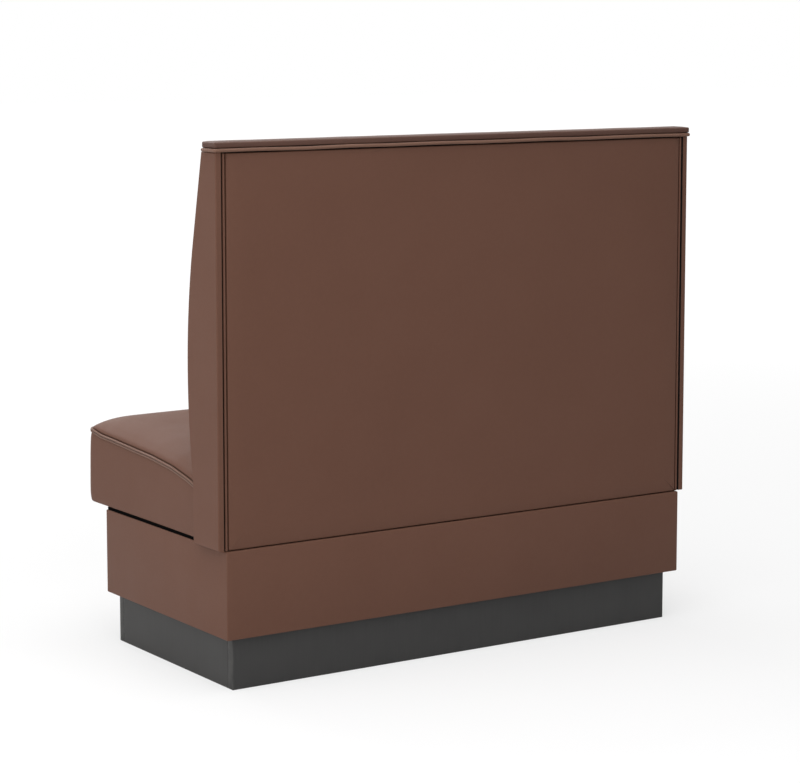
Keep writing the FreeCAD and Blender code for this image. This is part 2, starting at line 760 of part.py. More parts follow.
cleat_blank = block(
    "base_back_cleat_blank", (-inside_half, cleat_front, cleat_bottom), (inside_half, inside_back, base_top))
node(cut("base_back_cleat", cleat_blank, group("cleat_holes", cleat_holes)))
node(group("back_lag_bolts", lag_bolts))

node(across(
    "back_top_rail",
    ((frame_back, top_rail_bottom), (frame_back, frame_top),
     (lining_rear(lining_top), frame_top), (lining_rear(lining_top), lining_top),
     (lining_rear(top_rail_bottom), top_rail_bottom)),
    -end_inner, end_inner))
node(across(
    "back_tuck_rail",
    ((frame_front, tuck_bottom), (frame_front, tuck_top),
     (lining_rear(tuck_top), tuck_top), (lining_rear(tuck_bottom), tuck_bottom)),
    -end_inner, end_inner))
for number, share in enumerate(RIB_PLACE_SHARES, start=1):
    middle = base_half * 2 * share
    half_rib = size("rib_thick") / 2
    node(across(
        f"back_rib_{number}",
        ((frame_back, bottom_rail_top), (frame_back, top_rail_bottom),
         (lining_rear(top_rail_bottom), top_rail_bottom), (lining_rear(tuck_top), tuck_top),
         (frame_front, tuck_top), (frame_front, bottom_rail_top)),
        middle - half_rib, middle + half_rib))
node(across(
    "inside_back_board",
    ((lining_rear(lining_foot), lining_foot), (lining_rear(lining_top), lining_top),
     (lining_face(lining_top), lining_top), (lining_face(lining_foot), lining_foot)),
    -end_inner, end_inner))


# End panels: boards with a straight foot and a swelling front edge, in a tray of vinyl
def end_profile(inset):
    """Outline of an end panel, drawn in by an even margin, and the height of its two arcs."""
    low = panel_bottom + inset
    high = panel_top - inset
    rear = panel_back - inset
    points = (
        (rear, low), (rear, high), (back - size("top_depth") + inset, high),
        (back - size("shoulder_depth") + inset, panel_top - size("shoulder_drop")),
        (back - size("bulge_depth") + inset, base_top + size("bulge_rise")),
        (back - size("foot_depth") + inset, base_top + size("foot_rise")),
        (back - size("foot_depth") + inset, low),
    )
    bulge = base_top + size("bulge_rise")
    return points, {3: bulge, 4: bulge}


wood_points, wood_arcs = end_profile(vinyl)
skin_points, skin_arcs = end_profile(ZERO)
left_board = across("end_board_left", wood_points, end_inner, end_outer - vinyl, wood_arcs)
core = across("end_core", wood_points, end_inner, end_outer - vinyl, wood_arcs)
skin = across("end_skin", skin_points, end_inner, end_outer, skin_arcs)
skin_width = (end_outer - end_inner).number - vinyl.number / 2
round_edges(skin, size("edge_round"), lambda start, stop: start.x > skin_width < stop.x)
left_skin = cut("end_vinyl_left", skin, core)
for name, source in (("end_board", left_board), ("end_vinyl", left_skin)):
    node(source)
    twin = doc.addObject("Part::Mirroring", name + "_right")
    twin.Label = name + "_right"
    twin.Source = source
    twin.Base = Vector(0, 0, 0)
    twin.Normal = Vector(1, 0, 0)
    node(twin)

# Outside back: a thin board in vinyl, with flanged piping upright in the groove beside each end panel
piping_half = end_inner - size("outside_groove")
outside_half = piping_half - size("piping") - size("panel_side_gap")
outside_low = (-outside_half, panel_back - vinyl - size("outside_board"), panel_bottom)
outside_high = (outside_half, panel_back, panel_top - size("panel_gap"))
board_low = (outside_low[0] + vinyl, outside_low[1], outside_low[2] + vinyl)
board_high = (outside_high[0] - vinyl, outside_high[1] - vinyl, outside_high[2] - vinyl)
node(block("outside_back_board", board_low, board_high))
node(cut(
    "outside_back_vinyl",
    block("outside_skin", outside_low, outside_high),
    block("outside_core", board_low, board_high)))
piping_radius = size("piping") / 2
for side, x in (("left", piping_half - piping_radius), ("right", piping_radius - piping_half)):
    cord = rod(
        f"piping_cord_{side}", size("piping"),
        (x, panel_back - piping_radius, panel_bottom), outside_high[2] - panel_bottom)
    flange = block(
        f"piping_flange_{side}",
        (x - vinyl / 2, frame_back, panel_bottom),
        (x + vinyl / 2, panel_back - piping_radius, outside_high[2]))
    node(join(f"outside_piping_{side}", [cord, flange]))


# Inside back cushion: lofts through one outline per height
def end_front_at(height):
    """Front edge of the end panels at a height over the foot."""
    bulge_height = (base_top + size("bulge_rise")).number
    bulge = size("bulge_depth").number
    shoulder_height = (panel_top - size("shoulder_drop")).number
    shoulder = size("shoulder_depth").number
    top = size("top_depth").number
    foot_height = (base_top + size("foot_rise")).number
    foot = size("foot_depth").number
    if height > shoulder_height:
        share = (height - shoulder_height) / (panel_top.number - shoulder_height)
        depth = shoulder + (top - shoulder) * share
    else:
        end_height, end_depth = (
            (shoulder_height, shoulder) if height > bulge_height else (foot_height, foot))
        run, drop = end_height - bulge_height, bulge - end_depth
        radius = (run ** 2 + drop ** 2) / (2 * drop)
        depth = bulge - radius + math.sqrt(radius ** 2 - (height - bulge_height) ** 2)
    return back.number - depth


def back_section(height, shrink, depth_share, crown_share, rear_extra):
    half = end_inner.number - clearance.number - shrink
    rear = lining_face(Value.of(height)).number
    edge = rear - (rear - end_front_at(height)) * depth_share + shrink
    crown = size("back_crown").number * crown_share
    shoulder = size("back_shoulder").number
    knee = edge - crown * SHOULDER_RISE_SHARE
    sag = crown * SHOULDER_SAG_SHARE
    behind = rear + rear_extra

    def side(sign):
        return (
            Vector(sign * half, behind, height),
            Vector(sign * half, edge, height),
            Vector(sign * (half - shoulder / 2), (edge + knee) / 2 - sag, height),
            Vector(sign * (half - shoulder), knee, height))

    right, left = side(1), side(-1)
    crest = Vector(0, edge - crown, height)
    return Part.Wire([
        line(left[0], right[0]),
        line(right[0], right[1]),
        arc(right[1], right[2], right[3]),
        arc(right[3], crest, left[3]),
        arc(left[3], left[2], left[1]),
        line(left[1], left[0]),
    ])


def back_form(shrink, rear_extra):
    low = lining_foot.number + shrink
    high = lining_top.number - shrink
    roll = size("back_roll").number
    sections = []
    for share in BACK_ROLL_STEP_SHARES:
        depth_share = BACK_FOOT_DEPTH_SHARE + (1 - BACK_FOOT_DEPTH_SHARE) * dome(share)
        crown_share = TOP_CROWN_SHARE + (FOOT_CROWN_SHARE - TOP_CROWN_SHARE) * dome(share)
        sections.append(back_section(low + roll * share, shrink, depth_share, crown_share, rear_extra))
    for share in BACK_STATION_SHARES:
        height = low + roll + (high - low - roll) * share
        near_top = dome((1 - share) * 3)
        swell = FOOT_CROWN_SHARE + (1 - FOOT_CROWN_SHARE) * dome(share * 2)
        crown_share = TOP_CROWN_SHARE + (swell - TOP_CROWN_SHARE) * near_top
        sections.append(back_section(height, shrink, 1.0, crown_share, rear_extra))
    return Part.makeLoft(sections, True, True)


node(shaped("inside_back_cover", back_form(0.0, 0.0).cut(back_form(vinyl.number, vinyl.number))))
node(shaped("inside_back_foam", back_form((vinyl + clearance).number, 0.0)))

# Cap: a board in vinyl over the top rail, with a fat welt all round beneath it
cap_half = end_outer + size("cap_overhang")
cap_front = back - size("cap_depth")
cap_low = (-cap_half, cap_front, cap_bottom)
cap_high = (cap_half, back, size("booth_height"))
cap_wood_low = (cap_low[0] + vinyl, cap_low[1] + vinyl, cap_low[2] + vinyl)
cap_wood_high = (cap_high[0] - vinyl, cap_high[1] - vinyl, cap_high[2] - vinyl)
node(block("cap_board", cap_wood_low, cap_wood_high))
cap_return = size("cap_return")
cap_outer = upright("cap_outer", cap_low, cap_high)
round_edges(cap_outer, size("edge_round"), is_upright_edge)
round_edges(
    cap_outer, size("edge_round"),
    lambda start, stop: start.z > size("cap_thick").number - vinyl.number < stop.z)
cap_sheet = cut("cap_sheet", cap_outer, block("cap_core", cap_wood_low, cap_wood_high))
cap_window = block(
    "cap_window",
    (cap_low[0] + cap_return, cap_low[1] + cap_return, cap_bottom - vinyl),
    (cap_high[0] - cap_return, cap_high[1] - cap_return, cap_wood_low[2]))
node(cut("cap_vinyl", cap_sheet, cap_window))

welt_radius = size("cap_welt").number / 2
welt_half = (cap_half + size("cap_welt_proud")).number - welt_radius
welt_back = (back + size("cap_welt_proud")).number - welt_radius
welt_front = (cap_front - size("cap_welt_proud")).number + welt_radius
welt_height = (cap_bottom + panel_top).number / 2


def cap_welt_path():
    """Four straight runs joined by quarter turns, from the middle of the front."""
    bend = size("cap_welt_corner").number
    slack = bend * (1 - math.sqrt(0.5))
    runs = [Vector(0, welt_front, welt_height)]
    edges = []
    for sign_x, sign_y in ((1, -1), (1, 1), (-1, 1), (-1, -1)):
        corner = Vector(sign_x * welt_half, welt_back if sign_y > 0 else welt_front, welt_height)
        along_x = corner - Vector(sign_x * bend, 0, 0)
        along_y = corner - Vector(0, sign_y * bend, 0)
        middle = corner - Vector(sign_x * slack, sign_y * slack, 0)
        entry, leave = (along_x, along_y) if sign_x * sign_y < 0 else (along_y, along_x)
        edges += [line(runs[-1], entry), arc(entry, middle, leave)]
        runs.append(leave)
    edges.append(line(runs[-1], runs[0]))
    return Part.Wire(edges)


welt_circle = Part.Wire(Part.makeCircle(welt_radius, Vector(0, welt_front, welt_height), Vector(1, 0, 0)))
node(shaped("cap_welt", cap_welt_path().makePipeShell([welt_circle], True, False)))

doc.recompute()

# Every object must have computed, and every piece must be a sound solid, before anything is written
for item in doc.Objects:
    if any(state in ("Invalid", "Error") for state in item.State):
        raise RuntimeError(f"{item.Label} failed: {item.State}")
for name, item in nodes.items():
    shape = item.Shape
    if shape.isNull() or not shape.isValid() or not shape.Solids or shape.Volume <= 0:
        raise RuntimeError(f"{name} is not a sound solid")
for name, item in nodes.items():
    item.Shape.exportStep(f"parts/{name}.step")
print(len(nodes), "pieces written")
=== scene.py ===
"""Restaurant booth: the dressed model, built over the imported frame."""

import json
import math

import bmesh
import bpy
from mathutils import Matrix, Vector, noise


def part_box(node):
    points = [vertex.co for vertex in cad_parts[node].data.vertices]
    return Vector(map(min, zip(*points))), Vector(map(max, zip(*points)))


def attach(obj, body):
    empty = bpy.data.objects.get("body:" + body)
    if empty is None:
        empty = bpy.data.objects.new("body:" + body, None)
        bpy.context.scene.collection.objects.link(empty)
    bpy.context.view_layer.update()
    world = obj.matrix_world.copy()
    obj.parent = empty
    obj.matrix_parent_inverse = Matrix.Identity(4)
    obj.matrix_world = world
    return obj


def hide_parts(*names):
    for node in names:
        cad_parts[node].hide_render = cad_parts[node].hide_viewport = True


bl_info = {
    "name": "Restaurant booth",
    "version": (1, 0, 0),
    "blender": (4, 5, 0),
    "location": "View3D > Sidebar > Booth",
    "description": "Dresses a single restaurant booth in vinyl, welts, paint and timber",
    "category": "Add Mesh",
}

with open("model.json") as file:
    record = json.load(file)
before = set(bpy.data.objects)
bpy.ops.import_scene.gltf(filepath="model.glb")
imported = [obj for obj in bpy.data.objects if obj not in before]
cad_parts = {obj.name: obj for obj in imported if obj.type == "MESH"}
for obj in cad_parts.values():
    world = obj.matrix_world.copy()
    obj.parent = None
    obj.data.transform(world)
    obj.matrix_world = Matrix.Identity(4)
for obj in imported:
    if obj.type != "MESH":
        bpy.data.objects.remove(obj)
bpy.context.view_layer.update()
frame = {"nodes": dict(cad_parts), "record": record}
NODES = frame["nodes"]

SHARP_ANGLE = math.radians(50)
FOLD_ANGLE = 1.2  # edges of a box turn by more than this, in radians
TINY = 1e-6

# Lengths in metres that belong with the CAD
SEAT_SIDE = 0.0029  # from the seat's rails to its outline
SEAM_REACH = 0.012  # held round the seat's seam
WELT_STEP = 0.006
CAP_WELT_STEP = 0.012
CAP_WELT_CORNER = 0.0022
LEANING_BOARD = 0.0055  # thickness of the board behind the back cushion
PANEL_GAP = 0.0003  # from the back cushion to the end panels
# Black cloth sheets put in the back's grooves as painted shade
SHADE_SHEET_LAP = 0.004
SHADE_SHEET_SKIN = 0.00005
SHADE_SHEET_LIFT = 0.0002  # over the base's rim
HEM = 0.0005

# Cuts beside the edges, in metres, that keep a mesh close where it turns
BACK_CUTS = (0.002, 0.005, 0.010, 0.020)
KICK_CUTS = (0.004, 0.008)
SEAT_RIM_CUTS = (0.0010, 0.0022)
SEAT_SEAM_CUTS = (0.002, 0.005, 0.008, 0.013)
SEAT_TOP_CUT = 0.014  # next to the seam's roll
SEAT_SIDE_CUT = 0.007  # over the rounded foot

# Cloth simulation of the cushions
CLOTH_FRAMES = 20
CLOTH_PRESSURE = 4.0
SWELL_EVENING = 12  # rounds of evening out the swelling
SWELL_START, SWELL_RISE, SWELL_INSET = 0.004, 0.02, 0.06  # the seat's top swells over and within its welt
HELD_REAR, HELD_RIM, HELD_TOP = 0.01, 0.004, 0.01  # held at the seat's rear and round the back cushion

# Waves in the stretched vinyl, per metre along each axis
PANEL_WAVES = Vector((3.1, 0, 2.3))
CAP_PUCKERS = Vector((5.0, 0, 170.0))
CAP_SWAYS = Vector((16.0, 30.0, 0))
WELT_WAVES = 9.0

# Crease near the cap's left end: distance from the end, width and slant
CREASE_PLACE, CREASE_WIDTH, CREASE_SLANT = 0.045, 0.004, 1.2

# Shape of the seat's top and sides
SEAT_DOME = 0.92  # share of the crown that rises at the ends; the rest bows over the whole width
FRONT_SHOULDER = 0.86  # width of the front's shoulder to the others'
SEAM_BAND = 0.0065
BELLY_TOP, BELLY_FOOT = 0.016, 0.008  # heights over which the belly fades
BELLY_LEAN = 0.45  # lost from the foot to the welt
BELLY_REAR = 0.55  # lost towards the rear, over the next share of the depth
BELLY_DEPTH = 0.7
TOP_START, TOP_BLEND = 0.008, 0.05  # in from the seam, where the top's own heights take over

# Shape of the back cushion, in shares of its depth at the foot and of its crown
BACK_FOOT = 0.45
BACK_DOME = 0.9
SWELL_LEAST, SWELL_BELOW, SWELL_MIDDLE = 0.15, 0.40, 0.45
BACK_DEPTH_CUTS = (0.35, 0.7, 0.85, 0.95)

# The seat's welt: each cord from the seam, and the stitches out from it, in radii of a cord
CORD_SPREAD = 0.92
STITCH_OUT = 0.75

# Finish of the pieces in each material slot
FINISHES = {
    "softwood": "pine", "plywood": "birch", "black_rubber": "rubber", "zinc_steel": "steel", "felt": "felt",
    "foam": "foam", "cambric": "cambric", "brown_vinyl": "vinyl", "welt_vinyl": "welt", "kick_paint": "paint",
}

# Name, width, place and target of each lamp, and its tint where it isn't white
LAMPS = (
    ("Overhead", 3.2, (0.2, 0.3, 3.4), (0, 0.1, 0.5)),
    ("Side", 1.8, (3.3, -0.7, 0.8), (0.4, 0, 0.4)),
    ("Fill", 2.0, (1.9, 1.9, 1.7), (0.4, 0.2, 0.6)),
    ("Sheen", 1.2, (-1.5, 4.6, 1.7), (0, 0.2, 0.8), (0.82, 0.90, 1.0)),
    ("Front", 2.4, (0.2, -3.7, 2.1), (0, 0, 0.5)),
)
SENSOR = 36
FLOOR_SIZE = 30

# Shape of the seat, front to back: share of the depth, share of the welt's height at the front
EDGE_HEIGHT_SHARES = (
    (0.0, 1.0), (0.045, 0.995), (0.075, 0.975), (0.12, 0.95), (0.2, 0.937), (0.37, 0.9), (0.54, 0.866),
    (0.7, 0.807), (0.82, 0.726), (0.88, 0.671), (0.94, 0.608), (1.0, 0.54),
)

# The same for the middle of the seat's top, which runs smoother than its seam
TOP_HEIGHT_SHARES = (
    (0.0, 0.996), (0.1, 0.968), (0.2, 0.943), (0.3, 0.919), (0.4, 0.896), (0.54, 0.862), (0.7, 0.807),
    (0.82, 0.735), (0.9, 0.67), (1.0, 0.56),
)

# The seat's top panel at its seam: distance in from the rim on the mesh, in on the seat, and rise
SEAM_ROLL = (
    (0.0, 0.0030, 0.0010), (0.0015, 0.0080, 0.0047), (0.004, 0.0016, 0.0066), (0.008, 0.0026, 0.0106),
    (0.011, 0.0047, 0.0146),
)


def length(text, default):
    """A property that holds a length in metres."""
    return bpy.props.FloatProperty(name=text, description=text, default=default, unit="LENGTH", precision=4)


def colour(text, default):
    return bpy.props.FloatVectorProperty(
        name=text, description=text, default=default, size=3, min=0, max=1, subtype="COLOR")


class BoothSizes(bpy.types.PropertyGroup):
    """Lengths that shape the dressed pieces."""

    vinyl: length("Thickness of the vinyl", 0.0011)
    base_edge: length("Rounding of the base's corners", 0.0025)
    base_rim: length("Rounding of the base's rims", 0.0024)
    rim_edge: length("Rounding of a folded rim", 0.0012)
    seat_corner: length("Seat corner radius", 0.025)
    seat_foot: length("Rounding of the seat's lower edge", 0.0032)
    seat_edge: length("Seat underside to welt at the front", 0.1545)
    seat_crown: length("Rise of the seat over its welt", 0.037)
    seat_shoulder: length("Width over which the seat rises", 0.090)
    seat_draw_in: length("How far the seat's sides pull in", 0.0015)
    seat_return: length("Vinyl turned under the seat", 0.014)
    seat_belly: length("Bulge of the seat's sides", 0.0046)
    seat_tuck: length("Depth of the seam beneath the welt", 0.0022)
    quilt_pitch: length("Size of the cushions' mesh", 0.010)
    top_swell: length("Most that the cushion tops may swell", 0.003)
    side_swell: length("Most that the cushion sides may swell", 0.0010)
    cord: length("Radius of each cord in the seat welt", 0.0024)
    stitch: length("Stitch length", 0.0030)
    stitch_pitch: length("Stitch spacing", 0.0052)
    thread: length("Thread radius", 0.0010)
    cap_cord: length("Radius of the cap's welt", 0.00425)
    cap_wave: length("How far the cap's welt wanders", 0.0006)
    cap_ripple: length("How far the cap's vinyl puckers", 0.0006)
    cap_pitch: length("Size of the cap's mesh", 0.006)
    cap_crown: length("Rise of the cap's middle over its edges", 0.0028)
    cap_pad: length("Room between the cap's board and its cover", 0.0016)
    cap_shoulder: length("Width over which the cap rises", 0.014)
    cap_crease: length("Depth of the crease near the cap's end", 0.0008)
    # Black cloth sheets put in the back's grooves as painted shade
    lining: length("Thickness of the black lining cloth", 0.0004)
    panel_pitch: length("Size of the panels' mesh", 0.030)
    panel_wave: length("How far the flat vinyl wanders", 0.0010)
    back_crown: length("Crown of the back cushion", 0.012)
    back_shoulder: length("Width over which the back cushion rises", 0.060)
    back_roll: length("Rounding of the back cushion's foot", 0.022)
    profile_reach: length("Height over which the back cushion's profile is evened", 0.070)
    skirt_hem: length("Foot of the cover's skirt, over the back frame's foot", 0.020)
    skirt_gap: length("Cover's skirt to the frame", 0.0003)
    board_edge: length("Rounding of the toe kick's edges", 0.0012)


class BoothColours(bpy.types.PropertyGroup):
    """Colours of the finishes."""

    # The lighter vinyl colours are mixed in as random mottling and, on the raised grain, as a painted
    # highlight
    vinyl: colour("Brown vinyl", (0.094, 0.0395, 0.0235))
    vinyl_mottle_highlight: colour("Brown vinyl where it catches the light", (0.125, 0.0565, 0.0355))
    # Darker copy of the brown vinyl: painted shade on the cap
    cap: colour("Cap vinyl", (0.062, 0.0275, 0.0185))
    welt: colour("Welt vinyl", (0.128, 0.064, 0.042))
    welt_mottle_highlight: colour("Welt vinyl where it catches the light", (0.170, 0.092, 0.062))
    thread: colour("Thread", (0.045, 0.022, 0.016))
    paint: colour("Toe kick paint", (0.034, 0.033, 0.032))
    paint_worn: colour("Toe kick paint on its edges", (0.060, 0.058, 0.055))
    birch: colour("Birch plywood", (0.52, 0.36, 0.21))
    birch_dark: colour("Dark plies", (0.33, 0.20, 0.11))
    pine: colour("Pine", (0.60, 0.42, 0.24))
    pine_dark: colour("Pine grain", (0.40, 0.24, 0.11))
    # Black rubber, darkened past real rubber as painted shade in the gap under the seat
    rubber: colour("Rest strips", (0.0012, 0.0012, 0.0012))
    steel: colour("Zinc-plated steel", (0.55, 0.56, 0.58))
    felt: colour("Felt", (0.16, 0.15, 0.14))
    foam: colour("Foam", (0.72, 0.66, 0.45))
    # Near black: the seat's dust cover, and the painted shade sheets in the back's grooves
    cambric: colour("Dust cover and lining cloth", (0.008, 0.008, 0.008))
    floor: colour("Floor", (0.86, 0.86, 0.86))
    floor_seen: colour("Part of the floor's tone that takes shadow", (0.28, 0.28, 0.28))


def power(text, default):
    return bpy.props.FloatProperty(name=text, description=text, default=default, unit="POWER")


class BoothLook(bpy.types.PropertyGroup):
    """Camera and lamps."""

    lens: bpy.props.FloatProperty(name="Lens", description="Focal length", default=112.32, unit="CAMERA")
    shift: bpy.props.FloatProperty(name="Shift", description="Vertical shift of the lens", default=-0.08875)
    eye: bpy.props.FloatVectorProperty(
        name="Eye", description="Place of the camera", default=(2.9223, 4.4447, 1.31817), subtype="XYZ")
    pitch: bpy.props.FloatProperty(
        name="Pitch", description="Tilt of the camera", default=math.radians(-6.968), subtype="ANGLE")
    heading: bpy.props.FloatProperty(
        name="Heading", description="Turn of the camera", default=math.radians(146.363), subtype="ANGLE")
    daylight: bpy.props.FloatProperty(name="Daylight", description="Light from all round", default=0.27)
    overhead: power("Overhead lamp", 102)
    side: power("Lamp on the sitter's left", 30)
    fill: power("Lamp behind the booth", 36)
    front: power("Lamp before the booth", 50)
    sheen: power("Cool lamp that glances off the back", 18)


# Small helpers

def sizes():
    return bpy.context.scene.booth_sizes


def colours():
    return bpy.context.scene.booth_colours


BOXES = {}


def corners(node):
    """Lowest and highest corner of a CAD node, read once."""
    if node not in BOXES:
        BOXES[node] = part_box(node)
    low, high = BOXES[node]
    return low.copy(), high.copy()


def mesh_of(bm, name):
    """Ends a bmesh and keeps its shape as a mesh."""
    mesh = bpy.data.meshes.new(name)
    bm.to_mesh(mesh)
    bm.free()
    return mesh


def add_mesh(bm, mesh):
    """Adds a mesh to a bmesh and drops it."""
    bm.from_mesh(mesh)
    bpy.data.meshes.remove(mesh)


def put(name, data):
    """A new object in the scene."""
    made = bpy.data.objects.new(name, data)
    bpy.context.scene.collection.objects.link(made)
    return made


def evaluated(piece):
    """The piece with its modifiers worked out."""
    return piece.evaluated_get(bpy.context.evaluated_depsgraph_get())


def finish_piece(bm, name, body, slot, replaced=(), look=None, smooth=True):
    """Turns a bmesh into a piece of the booth."""
    return dress_mesh(mesh_of(bm, name), name, body, slot, replaced, look, smooth)


def dress_mesh(mesh, name, body, slot, replaced=(), look=None, smooth=True, levels=0):
    """A piece that rides on a body and stands for CAD nodes, in its slot's finish or another."""
    piece = put(name, mesh)
    mesh.materials.append(finish(look or FINISHES[slot]))
    if smooth:
        mesh.shade_smooth()
        mesh.set_sharp_from_angle(angle=SHARP_ANGLE)
    if levels:
        subdivision = piece.modifiers.new("Smooth surface", "SUBSURF")
        subdivision.levels = subdivision.render_levels = levels
    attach(piece, body)
    if replaced:
        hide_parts(*replaced)
    return piece


def paint_node(name, look):
    """Gives a CAD node its finish."""
    mesh = NODES[name].data
    mesh.materials.clear()
    mesh.materials.append(finish(look))


def share(value):
    """The value, kept between 0 and 1."""
    return min(1.0, max(0.0, value))


def dome(value):
    """Quarter circle that rises from 0 to 1."""
    return math.sqrt(max(0.0, 1 - (1 - share(value)) ** 2))


def run(table, place):
    """Reads a table of (place, value) pairs, straight between its rows."""
    for (left, low), (right, high) in zip(table, table[1:]):
        if place <= right:
            return low + (high - low) * max(place - left, 0) / (right - left)
    return table[-1][1]


def box_mesh(low, high):
    """A closed box between two corners."""
    low, high = Vector(low), Vector(high)
    bm = bmesh.new()
    bmesh.ops.create_cube(bm, size=1)
    bmesh.ops.scale(bm, vec=high - low, verts=bm.verts)
    bmesh.ops.translate(bm, vec=(low + high) / 2, verts=bm.verts)
    return bm


def along(edge, axis):
    """Whether an edge runs along an axis."""
    span = edge.verts[1].co - edge.verts[0].co
    return abs(span[axis]) > 0.999 * span.length


def slice_at(bm, axis, places):
    """Cuts the whole mesh at places along an axis."""
    normal = Vector((0, 0, 0))
    normal[axis] = 1
    for place in places:
        whole = bm.verts[:] + bm.edges[:] + bm.faces[:]
        bmesh.ops.bisect_plane(bm, geom=whole, dist=1e-7, plane_co=normal * place, plane_no=normal)


def from_ends(low, high, cuts):
    """Places a little within both ends of a length."""
    return [low + cut for cut in cuts] + [high - cut for cut in cuts]


def quilt(bm, axis, pitch):
    """Divides the long edges along an axis into even squares."""
    long_edges = [e for e in bm.edges if along(e, axis) and e.calc_length() > pitch * 1.5]
    if long_edges:
        cuts = max(1, round(max(e.calc_length() for e in long_edges) / pitch) - 1)
        bmesh.ops.subdivide_edges(bm, edges=long_edges, cuts=cuts, use_grid_fill=True)


def bevel(bm, edges, width, segments):
    bmesh.ops.bevel(
        bm, geom=edges, offset=width, offset_type="OFFSET", affect="EDGES", segments=segments, profile=0.5,
        material=-1)


# Shader node groups and materials

class Wires:
    """Short way to lay nodes and join them."""

    def __init__(self, tree):
        self.tree = tree

    def feed(self, target, value):
        """Joins a socket to a target, or writes a value into it."""
        if isinstance(value, bpy.types.NodeSocket):
            self.tree.links.new(value, target)
        else:
            target.default_value = value

    def node(self, kind, inputs=None, **settings):
        made = self.tree.nodes.new(kind)
        for name, value in settings.items():
            setattr(made, name, value)
        for name, value in (inputs or {}).items():
            self.feed(made.inputs[name], value)
        return made

    def place(self):
        return self.node("ShaderNodeTexCoord").outputs["Object"]

    def stretched(self, place, stretch):
        return self.node("ShaderNodeVectorMath", {0: place, 1: stretch}, operation="MULTIPLY").outputs[0]

    def maths(self, operation, first, second=0.0):
        return self.node("ShaderNodeMath", {0: first, 1: second}, operation=operation).outputs[0]

    def blend(self, *terms):
        """Sum of sockets, each times its weight."""
        total, *others = [self.maths("MULTIPLY", value, weight) for value, weight in terms]
        for other in others:
            total = self.maths("ADD", total, other)
        return total

    def mix(self, factor, first, second):
        made = self.node("ShaderNodeMix", data_type="RGBA")
        sockets = {s.identifier: s for s in (*made.inputs, *made.outputs)}
        self.feed(sockets["Factor_Float"], factor)
        for name, value in (("A_Color", first), ("B_Color", second)):
            self.feed(sockets[name], value if isinstance(value, bpy.types.NodeSocket) else (*value, 1))
        return sockets["Result_Color"]

    def span(self, value, low, high, to_low=0.0, to_high=1.0):
        made = self.node("ShaderNodeMapRange", {
            "Value": value, "From Min": low, "From Max": high, "To Min": to_low, "To Max": to_high})
        return made.outputs["Result"]

    def noise(self, place, scale, detail=2.0, roughness=0.5):
        made = self.node("ShaderNodeTexNoise", {
            "Vector": place, "Scale": scale, "Detail": detail, "Roughness": roughness})
        return made.outputs["Fac"]


def new_group(name, inputs):
    """A group whose outputs are a finish's colour, roughness and height."""
    tree = bpy.data.node_groups.new(name, "ShaderNodeTree")
    for text, kind, default in inputs:
        made = tree.interface.new_socket(name=text, in_out="INPUT", socket_type=f"NodeSocket{kind}")
        made.default_value = default
    for text, kind in (("Colour", "Color"), ("Roughness", "Float"), ("Height", "Float")):
        tree.interface.new_socket(name=text, in_out="OUTPUT", socket_type=f"NodeSocket{kind}")
    wires = Wires(tree)
    return wires, wires.node("NodeGroupInput").outputs, wires.place()


def close_group(wires, shade, gloss, height):
    """Joins a group's three results to its outputs."""
    wires.node("NodeGroupOutput", {"Colour": shade, "Roughness": gloss, "Height": height})


def vinyl_group():
    """Embossed upholstery vinyl: pebbled grain, faint mottling, slow waves in its gloss."""
    wires, given, place = new_group("Upholstery vinyl", (
        ("Colour", "Color", (0.1, 0.05, 0.04, 1)),
        ("Raised Colour", "Color", (0.15, 0.08, 0.06, 1)),
        ("Grain Scale", "Float", 780.0),
        ("Roughness", "Float", 0.42),
    ))
    warp = wires.node("ShaderNodeTexNoise", {"Vector": place, "Scale": 210.0, "Detail": 2.0})
    shifted = wires.node("ShaderNodeVectorMath", {
        0: warp.outputs["Color"], 1: (0.0016, 0.0016, 0.0016), 2: place}, operation="MULTIPLY_ADD")
    cells = wires.node("ShaderNodeTexVoronoi", {
        "Vector": shifted.outputs[0], "Scale": given["Grain Scale"]}, feature="DISTANCE_TO_EDGE")
    pebble = wires.span(cells.outputs["Distance"], 0.0, 0.24)
    fine = wires.noise(place, 2600.0, 1.0)
    height = wires.blend((pebble, 0.8), (fine, 0.2))
    cloud = wires.span(wires.noise(place, 5.5, 4.0, 0.55), 0.3, 0.7)
    speck = wires.span(wires.noise(place, 95.0, 3.0, 0.6), 0.35, 0.7)
    # Lighter colour mixed in at random by cloud and speck, and on the raised grain as a painted highlight
    tone = wires.blend((cloud, 0.16), (speck, 0.10), (pebble, 0.10))
    streak = wires.maths("SUBTRACT", wires.noise(place, 14.0, 3.0), 0.5)
    gloss = wires.blend((given["Roughness"], 1.0), (streak, 0.12), (pebble, -0.05))
    close_group(wires, wires.mix(tone, given["Colour"], given["Raised Colour"]), gloss, height)


def timber_group():
    """Planed timber: growth rings drawn out along one axis, and fine fibres."""
    wires, given, place = new_group("Timber grain", (
        ("Light Colour", "Color", (0.6, 0.4, 0.2, 1)),
        ("Dark Colour", "Color", (0.4, 0.2, 0.1, 1)),
        ("Stretch", "Vector", (1.0, 14.0, 14.0)),
        ("Contrast", "Float", 0.6),
    ))
    drawn = wires.stretched(place, given["Stretch"])
    rings = wires.noise(drawn, 3.2, 4.0, 0.55)
    bands = wires.maths("FRACT", wires.maths("MULTIPLY", rings, 9.0))
    bands = wires.span(bands, 0.0, 1.0, 0.1, 0.9)
    fibres = wires.noise(drawn, 60.0, 2.0, 0.6)
    tone = wires.maths("MULTIPLY", wires.blend((bands, 0.6), (fibres, 0.4)), given["Contrast"])
    gloss = wires.span(fibres, 0.2, 0.8, 0.5, 0.75)
    close_group(wires, wires.mix(tone, given["Light Colour"], given["Dark Colour"]), gloss, fibres)


